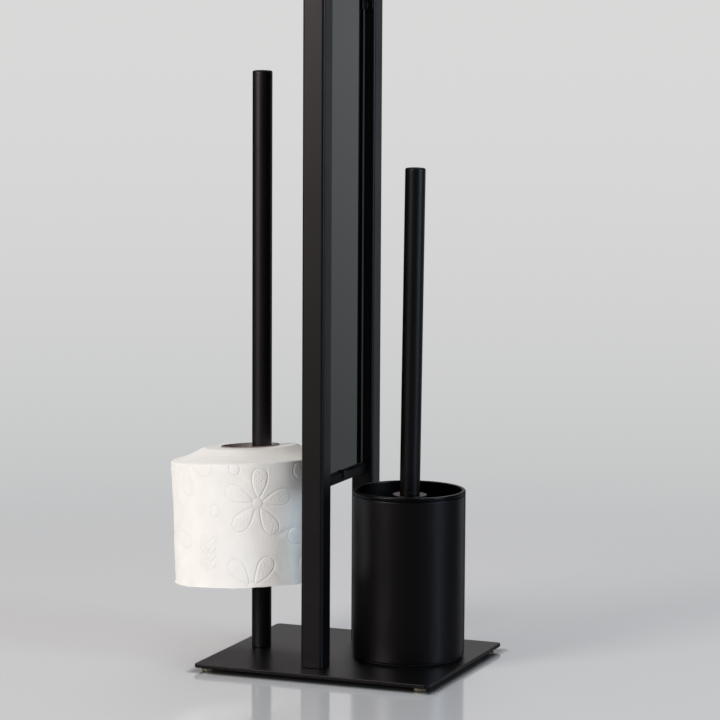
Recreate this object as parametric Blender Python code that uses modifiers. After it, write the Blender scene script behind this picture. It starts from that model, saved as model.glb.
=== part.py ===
"""Free-standing toilet butler: brush set, spare roll rod and roll arm on one stand.

Metres, +Z up. The floor is at zero height. X runs across the stand, from the
spare roll to the brush, and Y runs from the front post to the back post.
"""
import math
import random

import bmesh
import bpy
from mathutils import Euler, Matrix, Vector

# Gaps between neighbours
SEAT_GAP = 0.0003
SCREW_GAP = 0.0003
TUBE_PLUG_GAP = 0.0003
CUT_OVERRUN = 0.004
MERGE_DISTANCE = 0.00002

# Sharper corners than this are the ones that get a rounded edge
EDGE_ANGLE_DEG = 40.0

# Steps round each kind of turned piece
CUP_STEPS = 40
ROLL_STEPS = 44
ROD_STEPS = 24
SMALL_STEPS = 14
CORNER_STEPS = 4
HEX_SIDES = 6

# Base plate
PLATE_WIDTH = 0.200
PLATE_DEPTH = 0.1728
PLATE_THICKNESS = 0.003
PLATE_CORNER_RADIUS = 0.0035
PLATE_EDGE_BREAK = 0.0004

# Stick-on feet
FOOT_DIAMETER = 0.010
FOOT_HEIGHT = 0.003
FOOT_EDGE = 0.0008
FOOT_INSET_X = 0.0095
FOOT_INSET_Y = 0.007

# Square tube frame, its place across the plate and its insets from the plate's edges
TUBE_SIZE = 0.0186
TUBE_WALL = 0.0015
TUBE_EDGE_RADIUS = 0.0025
TUBE_BORE_RADIUS = 0.001
FRAME_X = -0.0071
FRAME_FRONT_INSET = 0.021
FRAME_BACK_INSET = 0.0259
FRAME_HEIGHT = 0.694

# Lower crossbar
CROSSBAR_WIDTH = 0.0072
CROSSBAR_HEIGHT = 0.0074
CROSSBAR_TOP = 0.1493
CROSSBAR_EDGE = 0.0004

# Glass panel and the saddle that it stands on
GLASS_THICKNESS = 0.004
GLASS_SIDE_GAP = 0.003
GLASS_TOP_GAP = 0.003
GLASS_CHAMFER = 0.0005
SADDLE_LENGTH = 0.0055
SADDLE_THICKNESS = 0.001
SADDLE_LEG = 0.0048
SADDLE_OFFSET_Y = -0.0042

# Clips that hold the glass to the posts
CLIP_HEIGHT = 0.016
CLIP_CENTRE_HEIGHT = 0.527
CLIP_THICKNESS = 0.0012
CLIP_LIP = 0.012
CLIP_EDGE_MARGIN = 0.0015
CLIP_SCREW_DIAMETER = 0.0024
CLIP_SCREW_LENGTH = 0.006
CLIP_HEAD_DIAMETER = 0.0038
CLIP_HEAD_HEIGHT = 0.0014
CLIP_HEAD_EDGE = 0.0005

# Round tube of the spare roll rod, and its place
ROD_DIAMETER = 0.016
ROD_WALL = 0.0015
ROD_HEIGHT = 0.4695
ROD_EDGE = 0.0009
ROD_X = -0.077
ROD_Y = -0.0022

# Plugs in the tube ends and the screws that pull on them
PLUG_HEIGHT = 0.012
PLUG_EDGE = 0.0005
BASE_SCREW_DIAMETER = 0.005
BASE_SCREW_LENGTH = 0.0125
BASE_SCREW_HEAD_DIAMETER = 0.0092
BASE_SCREW_HEAD_HEIGHT = 0.0023
HEX_SOCKET_RADIUS = 0.0017
HEX_SOCKET_DEPTH = 0.0014

# Roll arm on the top rail
ARM_DIAMETER = 0.016
ARM_WALL = 0.0015
ARM_REACH = 0.1401
ARM_EDGE = 0.0009
ARM_PLUG_LENGTH = 0.014
ARM_SCREW_DIAMETER = 0.005
ARM_SCREW_HEAD_DIAMETER = 0.009
ARM_SCREW_HEAD_HEIGHT = 0.0024
ARM_SCREW_GRIP = 0.010

# Rest that carries the spare roll on its rod
REST_DIAMETER = 0.052
REST_THICKNESS = 0.0025
REST_HUB_DIAMETER = 0.025
REST_HUB_HEIGHT = 0.007
REST_EDGE = 0.0006
GRUB_DIAMETER = 0.004
GRUB_SOCKET_RADIUS = 0.0011
GRUB_SOCKET_DEPTH = 0.0012

# Spare roll: cardboard core and paper, telescoped and leaning on the rod
ROLL_UNDERSIDE_HEIGHT = 0.0657
ROLL_WIDTH = 0.0994
ROLL_DIAMETER = 0.1278
ROLL_OFFSET = 0.0015
ROLL_PLATEAU_RADIUS = 0.0369
ROLL_DROP = 0.0096
ROLL_EDGE = 0.0012
ROLL_SLOPE_SHARES = ((0.0, 0.0), (0.19, 0.34), (0.385, 0.67), (0.7, 0.85))
CORE_BORE_DIAMETER = 0.046
CORE_WALL = 0.0009
CORE_PROUD = 0.0006
ROLL_SHIFT = 0.0059
ROLL_LEAN_FRONT_DEG = -3.03
ROLL_LEAN_LEFT_DEG = -3.92

# Brush cup: steel sleeve, plastic liner with a lip, and the ring under it
CUP_DIAMETER = 0.0908
CUP_HEIGHT = 0.1363
CUP_X = 0.0467
CUP_Y = 0.0098
SLEEVE_WALL = 0.001
SLEEVE_EDGE = 0.0004
LIP_HEIGHT = 0.0035
LIP_ROUND = 0.001
LINER_WALL = 0.0016
LINER_SIDE_GAP = 0.0006
LINER_FLOOR_GAP = 0.001
LINER_FLOOR_ROUND = 0.004
RING_HEIGHT = 0.0015
RING_OUTER_DIAMETER = 0.085
RING_WIDTH = 0.005

# Brush handle, collar and head, measured along the brush from the liner floor
BRUSH_OFFSET_X = -0.00085
BRUSH_LEAN_DEG = 0.61
BRUSH_TURN_DEG = 21.5
HANDLE_DIAMETER = 0.0163
HANDLE_WALL = 0.0015
HANDLE_LENGTH = 0.2618
HANDLE_EDGE = 0.0009
COLLAR_DIAMETER = 0.0276
COLLAR_THICKNESS = 0.0014
COLLAR_EDGE = 0.0004
COLLAR_TOP = 0.1262
SPIGOT_LENGTH = 0.024
SPIGOT_EDGE = 0.001
BRUSH_GRUB_HEIGHT = 0.0031
NECK_DIAMETER = 0.017
NECK_WAIST_DIAMETER = 0.013
NECK_WAIST_SHARE = 0.45
HEAD_CAP_DIAMETER = 0.028
HEAD_CAP_THICKNESS = 0.0025
HEAD_CAP_TOP = 0.0775

# Bristles: strands on a thimble-shaped slice of the head
BACKING_RADIUS = 0.012
BACKING_WALL = 0.002
BACKING_STEPS = 16
BACKING_ROWS = 8
DOME_CENTRE_HEIGHT = 0.030
BRISTLE_RADIUS = 0.0350
BRISTLE_TOP_MARGIN = 0.0004
BRISTLE_JITTER = 0.0007
STRAND_INSET = 0.00095
STRAND_TIP_SHARE = 0.75
DOME_ROW_ANGLES_DEG = (62.0, 34.0, 14.0)
BRISTLE_SEED = 7

# Heights and places that follow from the sizes above
PLATE_BOTTOM = FOOT_HEIGHT + SEAT_GAP
PLATE_TOP = PLATE_BOTTOM + PLATE_THICKNESS
TUBE_HALF = TUBE_SIZE / 2
FRAME_BOTTOM = PLATE_TOP + SEAT_GAP
FRAME_TOP = PLATE_TOP + FRAME_HEIGHT
FRAME_DEPTH = PLATE_DEPTH - FRAME_FRONT_INSET - FRAME_BACK_INSET
FRAME_Y = (FRAME_FRONT_INSET - FRAME_BACK_INSET) / 2
FRONT_POST_Y = FRAME_Y - FRAME_DEPTH / 2 + TUBE_HALF
BACK_POST_Y = FRAME_Y + FRAME_DEPTH / 2 - TUBE_HALF
FRAME_INSIDE = FRAME_DEPTH - 2 * TUBE_SIZE
RAIL_CENTRE_HEIGHT = FRAME_TOP - TUBE_HALF
RAIL_FACE_X = FRAME_X - TUBE_HALF
ARM_START_X = RAIL_FACE_X - SEAT_GAP
ARM_END_X = ARM_START_X - ARM_REACH
CUP_BOTTOM = PLATE_TOP + SEAT_GAP
SLEEVE_BOTTOM = CUP_BOTTOM + RING_HEIGHT + SEAT_GAP
CUP_TOP = PLATE_TOP + CUP_HEIGHT
CUP_RADIUS = CUP_DIAMETER / 2
LINER_OUTER_RADIUS = CUP_RADIUS - SLEEVE_WALL - LINER_SIDE_GAP
LINER_INNER_RADIUS = LINER_OUTER_RADIUS - LINER_WALL
LINER_BOTTOM = SLEEVE_BOTTOM + SLEEVE_WALL + LINER_FLOOR_GAP
LINER_FLOOR = LINER_BOTTOM + LINER_WALL

# How far in from its corner the middle of a quarter-round lies, as a share of its radius
ROUND_MIDDLE_SHARE = 1.0 - math.sqrt(0.5)

# The origin is under the middle of the whole width, arm end to plate edge
ORIGIN_X = (ARM_END_X + PLATE_WIDTH / 2) / 2


def material(name, colour, roughness, metallic=0.0):
    """A plain surface with a colour, a roughness and a metallic value."""
    mat = bpy.data.materials.new(name)
    mat.use_nodes = True
    shader = mat.node_tree.nodes["Principled BSDF"]
    shader.inputs["Base Color"].default_value = (*colour, 1.0)
    shader.inputs["Roughness"].default_value = roughness
    shader.inputs["Metallic"].default_value = metallic
    mat.diffuse_color = (*colour, 1.0)
    return mat


def clear_scene():
    for old in list(bpy.data.objects):
        bpy.data.objects.remove(old, do_unlink=True)


def collection(name):
    group = bpy.data.collections.new(name)
    bpy.context.scene.collection.children.link(group)
    return group


clear_scene()
PARTS = collection("toilet_butler_stand")
CUTTERS = collection("cutters")

BLACK_STEEL = material("black_steel", (0.008, 0.008, 0.0085), 0.45, 0.2)
BLACK_GLASS = material("black_glass", (0.01, 0.011, 0.012), 0.04)
BLACK_PLASTIC = material("black_plastic", (0.011, 0.012, 0.013), 0.2)
SCREW_STEEL = material("screw_steel", (0.08, 0.08, 0.085), 0.35, 0.9)
RUBBER = material("rubber", (0.03, 0.03, 0.03), 0.8)
CLEAR_PAD = material("clear_pad", (0.35, 0.26, 0.16), 0.4)
PAPER = material("paper", (0.82, 0.81, 0.79), 0.95)
CARDBOARD = material("cardboard", (0.45, 0.38, 0.32), 0.9)
BRISTLE = material("bristle", (0.02, 0.02, 0.022), 0.6)


def empty(name, location, parent=None, rotation=(0.0, 0.0, 0.0)):
    """A bare frame that other pieces are placed in."""
    frame = bpy.data.objects.new(name, None)
    PARTS.objects.link(frame)
    frame.location = location
    frame.rotation_euler = rotation
    frame.parent = parent
    return frame


def place(name, mesh, surface, parent, location=(0.0, 0.0, 0.0), rotation=(0.0, 0.0, 0.0)):
    """Puts a mesh into the parts collection as a named sub-part."""
    piece = bpy.data.objects.new(name, mesh)
    PARTS.objects.link(piece)
    if not mesh.materials:
        mesh.materials.append(surface)
    piece.parent = parent
    piece.location = location
    piece.rotation_euler = rotation
    return piece


def as_cutter(piece):
    """Takes a shape out of the parts and keeps it as a tool for cuts."""
    PARTS.objects.unlink(piece)
    CUTTERS.objects.link(piece)
    piece.hide_render = True
    piece.display_type = 'WIRE'
    return piece


def cut(piece, cutter):
    boolean = piece.modifiers.new("cut " + cutter.name, 'BOOLEAN')
    boolean.operation = 'DIFFERENCE'
    boolean.solver = 'EXACT'
    boolean.object = cutter


def block_mesh(name, size):
    """A box of the given size, centred on its origin."""
    bm = bmesh.new()
    bmesh.ops.create_cube(bm, size=1.0)
    bmesh.ops.scale(bm, vec=size, verts=bm.verts)
    mesh = bpy.data.meshes.new(name)
    bm.to_mesh(mesh)
    bm.free()
    return mesh


def bevel(piece, width):
    edge = piece.modifiers.new("edges", 'BEVEL')
    edge.width = width
    edge.segments = 1
    edge.limit_method = 'ANGLE'
    edge.angle_limit = math.radians(EDGE_ANGLE_DEG)


def peg_mesh(name, radius, length, sides=SMALL_STEPS):
    """A straight round or six-sided pin along Z, centred on its origin."""
    bm = bmesh.new()
    bmesh.ops.create_cone(bm, cap_ends=True, cap_tris=False, segments=sides,
                          radius1=radius, radius2=radius, depth=length)
    mesh = bpy.data.meshes.new(name)
    bm.to_mesh(mesh)
    bm.free()
    return mesh


def turned(name, profile, surface, parent, location, steps, loop=False, rotation=(0.0, 0.0, 0.0)):
    """Turns (radius, height) points about Z; a looped profile makes a ring."""
    count = len(profile)
    edges = [(i, i + 1) for i in range(count - 1)]
    if loop:
        edges.append((count - 1, 0))
    mesh = bpy.data.meshes.new(name)
    mesh.from_pydata([(radius, 0.0, height) for radius, height in profile], edges, [])
    piece = place(name, mesh, surface, parent, location, rotation)
    screw = piece.modifiers.new("turn", 'SCREW')
    screw.axis = 'Z'
    screw.angle = math.tau
    screw.steps = steps
    screw.render_steps = steps
    screw.use_merge_vertices = True
    screw.merge_threshold = MERGE_DISTANCE
    screw.use_smooth_shade = True
    return piece


def rounded_rectangle(width, depth, radius):
    """Corner points of a rectangle with quarter-round corners, about its middle."""
    points = []
    for turn, (sx, sy) in enumerate(((1, 1), (-1, 1), (-1, -1), (1, -1))):
        cx = sx * (width / 2 - radius)
        cy = sy * (depth / 2 - radius)
        for step in range(CORNER_STEPS + 1):
            angle = math.pi / 2 * (turn + step / CORNER_STEPS)
            points.append((cx + radius * math.cos(angle), cy + radius * math.sin(angle)))
    return points


def outline_mesh(name, outlines, thickness):
    """Fills flat outlines, the later ones as holes, to the given thickness along Z."""
    curve = bpy.data.curves.new(name, 'CURVE')
    curve.dimensions = '2D'
    curve.fill_mode = 'BOTH'
    curve.extrude = thickness / 2
    for outline in outlines:
        spline = curve.splines.new('POLY')
        spline.points.add(len(outline) - 1)
        for point, (x, y) in zip(spline.points, outline):
            point.co = (x, y, 0.0, 1.0)
        spline.use_cyclic_u = True
    guide = bpy.data.objects.new(name + "_outline", curve)
    CUTTERS.objects.link(guide)
    bpy.context.view_layer.update()
    seen = guide.evaluated_get(bpy.context.evaluated_depsgraph_get())
    mesh = bpy.data.meshes.new_from_object(seen)
    bpy.data.objects.remove(guide, do_unlink=True)
    bm = bmesh.new()
    bm.from_mesh(mesh)
    bmesh.ops.remove_doubles(bm, verts=bm.verts, dist=MERGE_DISTANCE)
    bm.to_mesh(mesh)
    bm.free()
    mesh.name = name
    return mesh


def copies(pattern, surface, parent, places):
    """Places the same small piece again and again, each copy a sub-part of its own.

    places holds a name and a matrix in the parent's frame. The pattern is removed.
    """
    bpy.context.view_layer.update()
    seen = pattern.evaluated_get(bpy.context.evaluated_depsgraph_get())
    shape = bpy.data.meshes.new_from_object(seen)
    for name, where in places:
        location, rotation, _ = where.decompose()
        place(name, shape, surface, parent, location, rotation.to_euler())
    bpy.data.objects.remove(pattern, do_unlink=True)


def countersunk_screw(name, parent):
    """A flat-headed screw along +Z with its head's outer face at zero, socket below."""
    head = BASE_SCREW_HEAD_DIAMETER / 2
    shank = BASE_SCREW_DIAMETER / 2
    profile = [(0.0, BASE_SCREW_LENGTH), (shank, BASE_SCREW_LENGTH),
               (shank, BASE_SCREW_HEAD_HEIGHT), (head, 0.0), (0.0, 0.0)]
    screw = turned(name, profile, SCREW_STEEL, parent, (0.0, 0.0, 0.0), SMALL_STEPS)
    recess = peg_mesh(name + "_socket", HEX_SOCKET_RADIUS, 2 * HEX_SOCKET_DEPTH, HEX_SIDES)
    socket = place(name + "_socket", recess, SCREW_STEEL, parent)
    cut(screw, as_cutter(socket))
    return screw


def make_base(stand):
    """The plate with its countersunk holes, and the four feet under it."""
    outline = rounded_rectangle(PLATE_WIDTH, PLATE_DEPTH, PLATE_CORNER_RADIUS)
    shape = outline_mesh("base_plate", [outline], PLATE_THICKNESS)
    plate = place("base_plate", shape, BLACK_STEEL, stand, (0.0, 0.0, PLATE_BOTTOM + PLATE_THICKNESS / 2))
    bevel(plate, PLATE_EDGE_BREAK)
    head = BASE_SCREW_HEAD_DIAMETER / 2 + SCREW_GAP
    shank = BASE_SCREW_DIAMETER / 2 + SCREW_GAP
    top = PLATE_THICKNESS + CUT_OVERRUN
    sink = [(0.0, top), (shank, top), (shank, BASE_SCREW_HEAD_HEIGHT), (head, 0.0),
            (head, -CUT_OVERRUN), (0.0, -CUT_OVERRUN)]
    for name, x, y in screw_places():
        place_under = (x, y, PLATE_BOTTOM)
        cutter = turned("countersink_" + name, sink, BLACK_STEEL, stand, place_under, SMALL_STEPS)
        cut(plate, as_cutter(cutter))
    radius = FOOT_DIAMETER / 2
    profile = [(0.0, FOOT_HEIGHT), (radius, FOOT_HEIGHT), (radius, FOOT_EDGE),
               (radius - FOOT_EDGE, 0.0), (0.0, 0.0)]
    x_reach = PLATE_WIDTH / 2 - FOOT_INSET_X
    y_reach = PLATE_DEPTH / 2 - FOOT_INSET_Y
    for name, sx, sy in (("foot_front_left", -1, -1), ("foot_front_right", 1, -1),
                         ("foot_back_left", -1, 1), ("foot_back_right", 1, 1)):
        turned(name, profile, CLEAR_PAD, stand, (sx * x_reach, sy * y_reach, 0.0), SMALL_STEPS)


def screw_places():
    """Where the screws come up through the plate: both posts and the rod."""
    return (("front_post", FRAME_X, FRONT_POST_Y), ("back_post", FRAME_X, BACK_POST_Y),
            ("spare_rod", ROD_X, ROD_Y))


def make_base_screws(stand):
    pattern = countersunk_screw("base_screw_pattern", stand)
    height = PLATE_BOTTOM + SCREW_GAP
    places = [(name + "_base_screw", Matrix.Translation((x, y, height)))
              for name, x, y in screw_places()]
    copies(pattern, SCREW_STEEL, stand, places)


def mitre_cutter(name, stand, end, above):
    """A block whose face lies on the mitre between a post and the top rail.

    end is -1 at the front post and 1 at the back; above takes off what lies
    over the mitre, and otherwise what lies under it goes.
    """
    size = 2 * TUBE_SIZE + CUT_OVERRUN
    outer_y = FRAME_Y + end * FRAME_DEPTH / 2
    side = 1 if above else -1
    normal = Vector((0.0, -end * side, side)).normalized()
    corner = Vector((FRAME_X, outer_y - end * TUBE_HALF, FRAME_TOP - TUBE_HALF))
    middle = corner + normal * (size - SEAT_GAP) / 2
    cutter = place(name, block_mesh(name, (size, size, size)), BLACK_STEEL, stand, middle,
                   (end * math.pi / 4, 0.0, 0.0))
    return as_cutter(cutter)


def square_tube_mesh(name, length):
    outer = rounded_rectangle(TUBE_SIZE, TUBE_SIZE, TUBE_EDGE_RADIUS)
    inside = TUBE_SIZE - 2 * TUBE_WALL
    inner = rounded_rectangle(inside, inside, TUBE_BORE_RADIUS)
    return outline_mesh(name, [outer, inner], length)


def make_frame(stand):
    """Two posts and a top rail of square tube, mitred, and the lower crossbar."""
    for name, y, end in (("front", FRONT_POST_Y, -1), ("back", BACK_POST_Y, 1)):
        make_post(stand, name, y, end)
        make_post_plug(stand, name + "_post", y)
    middle = (FRAME_X, FRAME_Y, RAIL_CENTRE_HEIGHT)
    rail = place("top_rail", square_tube_mesh("top_rail", FRAME_DEPTH), BLACK_STEEL, stand, middle,
                 (math.pi / 2, 0.0, 0.0))
    for name, end in (("front", -1), ("back", 1)):
        cut(rail, mitre_cutter(name + "_rail_mitre", stand, end, False))
    radius = ARM_SCREW_DIAMETER / 2 + SCREW_GAP
    through = peg_mesh("arm_screw_hole", radius, TUBE_SIZE + 2 * CUT_OVERRUN)
    hole = place("arm_screw_hole", through, BLACK_STEEL, stand, middle, (0.0, math.pi / 2, 0.0))
    cut(rail, as_cutter(hole))
    size = (CROSSBAR_WIDTH, FRAME_INSIDE - 2 * SEAT_GAP, CROSSBAR_HEIGHT)
    height = PLATE_TOP + CROSSBAR_TOP - CROSSBAR_HEIGHT / 2
    bar = place("lower_crossbar", block_mesh("lower_crossbar", size), BLACK_STEEL, stand,
                (FRAME_X, FRAME_Y, height))
    bevel(bar, CROSSBAR_EDGE)


def make_post(stand, name, y, end):
    """A square tube from the plate to the mitre, with a hole for each clip screw."""
    length = FRAME_TOP - FRAME_BOTTOM
    post = place(name + "_post", square_tube_mesh(name + "_post", length), BLACK_STEEL, stand,
                 (FRAME_X, y, FRAME_BOTTOM + length / 2))
    cut(post, mitre_cutter(name + "_post_mitre", stand, end, True))
    for side in (-1, 1):
        cut(post, clip_hole(name, stand, y - end * TUBE_HALF, side))


def make_post_plug(stand, name, y):
    """The square plug in a post's foot, bored for the screw that comes up from the plate."""
    inside = TUBE_SIZE - 2 * TUBE_WALL - 2 * TUBE_PLUG_GAP
    middle = (FRAME_X, y, FRAME_BOTTOM + PLUG_HEIGHT / 2)
    plug = place(name + "_plug", block_mesh(name + "_plug", (inside, inside, PLUG_HEIGHT)),
                 SCREW_STEEL, stand, middle)
    bevel(plug, PLUG_EDGE)
    radius = BASE_SCREW_DIAMETER / 2 + SCREW_GAP
    bore = place(name + "_plug_bore", peg_mesh(name + "_plug_bore", radius, PLUG_HEIGHT + 2 * CUT_OVERRUN),
                 SCREW_STEEL, stand, middle)
    cut(plug, as_cutter(bore))


def clip_screw_x():
    """How far a clip's screw stands from the middle of the post."""
    inner = GLASS_THICKNESS / 2 + SEAT_GAP + CLIP_THICKNESS
    outer = TUBE_HALF - CLIP_EDGE_MARGIN
    return (inner + outer) / 2


def clip_hole(name, stand, face_y, side):
    """A hole through a post's inner wall for one clip screw."""
    label = "%s_clip_hole_%s" % (name, "right" if side > 0 else "left")
    radius = CLIP_SCREW_DIAMETER / 2 + SCREW_GAP
    length = 2 * (TUBE_WALL + CUT_OVERRUN)
    x = FRAME_X + side * clip_screw_x()
    hole = place(label, peg_mesh(label, radius, length), BLACK_STEEL, stand,
                 (x, face_y, PLATE_TOP + CLIP_CENTRE_HEIGHT), (math.pi / 2, 0.0, 0.0))
    return as_cutter(hole)


def make_glass(stand):
    """The panel, the saddle under it and the four clips beside it."""
    saddle_top = PLATE_TOP + CROSSBAR_TOP + SEAT_GAP + SADDLE_THICKNESS
    bottom = saddle_top + SEAT_GAP
    top = FRAME_TOP - TUBE_SIZE - GLASS_TOP_GAP
    width = FRAME_INSIDE - 2 * GLASS_SIDE_GAP
    glass = place("glass_panel", block_mesh("glass_panel", (GLASS_THICKNESS, width, top - bottom)),
                  BLACK_GLASS, stand, (FRAME_X, FRAME_Y, (bottom + top) / 2))
    bevel(glass, GLASS_CHAMFER)
    inner = CROSSBAR_WIDTH / 2 + SEAT_GAP
    outer = inner + SADDLE_THICKNESS
    crown = SADDLE_THICKNESS
    leg = SADDLE_LEG
    outline = [(outer, -leg), (outer, crown), (-outer, crown), (-outer, -leg),
               (-inner, -leg), (-inner, 0.0), (inner, 0.0), (inner, -leg)]
    seat = (FRAME_X, FRAME_Y + SADDLE_OFFSET_Y, PLATE_TOP + CROSSBAR_TOP + SEAT_GAP)
    place("glass_saddle", outline_mesh("glass_saddle", [outline], SADDLE_LENGTH), RUBBER, stand,
          seat, (math.pi / 2, 0.0, 0.0))
    make_clips(stand)
    make_clip_screws(stand)


def clip_places():
    """Each clip's name, side of the glass, its end of the frame and how it is turned.

    The last value is the Y of the clip's foot, against the post.
    """
    back_y = BACK_POST_Y - TUBE_HALF - SEAT_GAP
    front_y = FRONT_POST_Y + TUBE_HALF + SEAT_GAP
    return (("back_right", 1, 1, (0.0, 0.0, 0.0), back_y),
            ("back_left", -1, 1, (0.0, math.pi, 0.0), back_y),
            ("front_right", 1, -1, (math.pi, 0.0, 0.0), front_y),
            ("front_left", -1, -1, (0.0, 0.0, math.pi), front_y))


def make_clips(stand):
    """Angle clips: a foot screwed to the post and a lip over the glass."""
    near = GLASS_THICKNESS / 2 + SEAT_GAP
    far = TUBE_HALF - CLIP_EDGE_MARGIN
    outline = [(near, 0.0), (near, -CLIP_LIP), (near + CLIP_THICKNESS, -CLIP_LIP),
               (near + CLIP_THICKNESS, -CLIP_THICKNESS), (far, -CLIP_THICKNESS), (far, 0.0)]
    shape = outline_mesh("glass_clip", [outline], CLIP_HEIGHT)
    radius = CLIP_SCREW_DIAMETER / 2 + SCREW_GAP
    through = peg_mesh("clip_bore", radius, 2 * (CLIP_THICKNESS + CUT_OVERRUN))
    height = PLATE_TOP + CLIP_CENTRE_HEIGHT
    for name, side, _, turn, y in clip_places():
        clip = place("glass_clip_" + name, shape, BLACK_STEEL, stand, (FRAME_X, y, height), turn)
        bore = place("clip_bore_" + name, through, BLACK_STEEL, stand,
                     (FRAME_X + side * clip_screw_x(), y, height), (math.pi / 2, 0.0, 0.0))
        cut(clip, as_cutter(bore))


def make_clip_screws(stand):
    """A pan head screw through each clip's foot into the post."""
    height = PLATE_TOP + CLIP_CENTRE_HEIGHT
    places = []
    for name, side, end, _, y in clip_places():
        seat = (FRAME_X + side * clip_screw_x(), y - end * (CLIP_THICKNESS + SEAT_GAP), height)
        where = Matrix.Translation(seat) @ Matrix.Rotation(end * math.pi / 2, 4, 'X')
        places.append(("clip_screw_" + name, where))
    head = CLIP_HEAD_DIAMETER / 2
    shank = CLIP_SCREW_DIAMETER / 2
    profile = [(0.0, CLIP_HEAD_HEIGHT), (head - CLIP_HEAD_EDGE, CLIP_HEAD_HEIGHT),
               (head, CLIP_HEAD_HEIGHT - CLIP_HEAD_EDGE), (head, 0.0), (shank, 0.0),
               (shank, -CLIP_SCREW_LENGTH), (0.0, -CLIP_SCREW_LENGTH)]
    pattern = turned("clip_screw_pattern", profile, SCREW_STEEL, stand, (0.0, 0.0, 0.0), SMALL_STEPS)
    recess = peg_mesh("clip_screw_socket", head / 2, CLIP_HEAD_HEIGHT, HEX_SIDES)
    socket = place("clip_screw_socket", recess, SCREW_STEEL, stand, (0.0, 0.0, CLIP_HEAD_HEIGHT))
    cut(pattern, as_cutter(socket))
    copies(pattern, SCREW_STEEL, stand, places)


def closed_tube_profile(radius, wall, length, edge):
    """A tube from zero to its length, closed at the top with a softened edge."""
    middle = ROUND_MIDDLE_SHARE * edge
    return [(0.0, length), (radius - edge, length), (radius - middle, length - middle),
            (radius, length - edge), (radius, edge / 2), (radius - edge / 2, 0.0), (radius - wall, 0.0),
            (radius - wall, length - 2 * wall), (0.0, length - 2 * wall)]


def round_plug(name, stand, radius, length, bore, location, rotation=(0.0, 0.0, 0.0)):
    """A turned insert with a threaded bore, from zero up to its length."""
    profile = [(radius - PLUG_EDGE, length), (radius, length - PLUG_EDGE), (radius, 0.0), (bore, 0.0),
               (bore, length)]
    return turned(name, profile, SCREW_STEEL, stand, location, ROD_STEPS, True, rotation)


def make_rod(stand):
    """The spare roll rod, its plug, and the rest that the roll stands on."""
    radius = ROD_DIAMETER / 2
    length = ROD_HEIGHT - SEAT_GAP
    turned("spare_rod", closed_tube_profile(radius, ROD_WALL, length, ROD_EDGE), BLACK_STEEL, stand,
           (ROD_X, ROD_Y, FRAME_BOTTOM), ROD_STEPS)
    round_plug("spare_rod_plug", stand, radius - ROD_WALL - TUBE_PLUG_GAP, PLUG_HEIGHT,
               BASE_SCREW_DIAMETER / 2 + SCREW_GAP, (ROD_X, ROD_Y, FRAME_BOTTOM))
    disc = REST_DIAMETER / 2
    hub = REST_HUB_DIAMETER / 2
    bore = radius + SEAT_GAP
    top = REST_HUB_HEIGHT + REST_THICKNESS
    profile = [(bore, top), (disc - REST_EDGE, top), (disc, top - REST_EDGE),
               (disc, REST_HUB_HEIGHT + REST_EDGE), (disc - REST_EDGE, REST_HUB_HEIGHT),
               (hub, REST_HUB_HEIGHT), (hub, 0.0), (bore, 0.0)]
    bottom = rest_top() - top
    rest = turned("roll_rest", profile, BLACK_STEEL, stand, (ROD_X, ROD_Y, bottom), ROD_STEPS, True)
    grub_length = hub - bore - SEAT_GAP
    middle = ROD_Y + bore + SEAT_GAP + grub_length / 2
    height = bottom + REST_HUB_HEIGHT / 2
    make_grub_screw("roll_rest_grub_screw", rest, stand, (ROD_X, middle, height), grub_length,
                    (-math.pi / 2, 0.0, 0.0))


def rest_top():
    """Top of the rest: just under the roll where the leaning roll touches its rim."""
    lean = math.hypot(math.radians(ROLL_LEAN_FRONT_DEG), math.radians(ROLL_LEAN_LEFT_DEG))
    return PLATE_TOP + ROLL_UNDERSIDE_HEIGHT - REST_DIAMETER / 2 * math.tan(lean) - 2 * SEAT_GAP


def make_grub_screw(name, carrier, parent, middle, length, rotation):
    """A headless screw in a hole of its carrier, with a socket in its outer end.

    The outer end points along the rotated Z axis, and the hole runs past both ends.
    """
    radius = GRUB_DIAMETER / 2
    clearance = 2 * (SEAT_GAP + SCREW_GAP)
    bore = peg_mesh(name + "_hole", radius + SCREW_GAP, length + clearance)
    hole = place(name + "_hole", bore, SCREW_STEEL, parent, middle, rotation)
    cut(carrier, as_cutter(hole))
    screw = place(name, peg_mesh(name, radius, length), SCREW_STEEL, parent, middle, rotation)
    outward = Euler(rotation).to_matrix() @ Vector((0.0, 0.0, length / 2))
    recess = peg_mesh(name + "_socket", GRUB_SOCKET_RADIUS, 2 * GRUB_SOCKET_DEPTH, HEX_SIDES)
    socket = place(name + "_socket", recess, SCREW_STEEL, parent, Vector(middle) + outward, rotation)
    cut(screw, as_cutter(socket))


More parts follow.
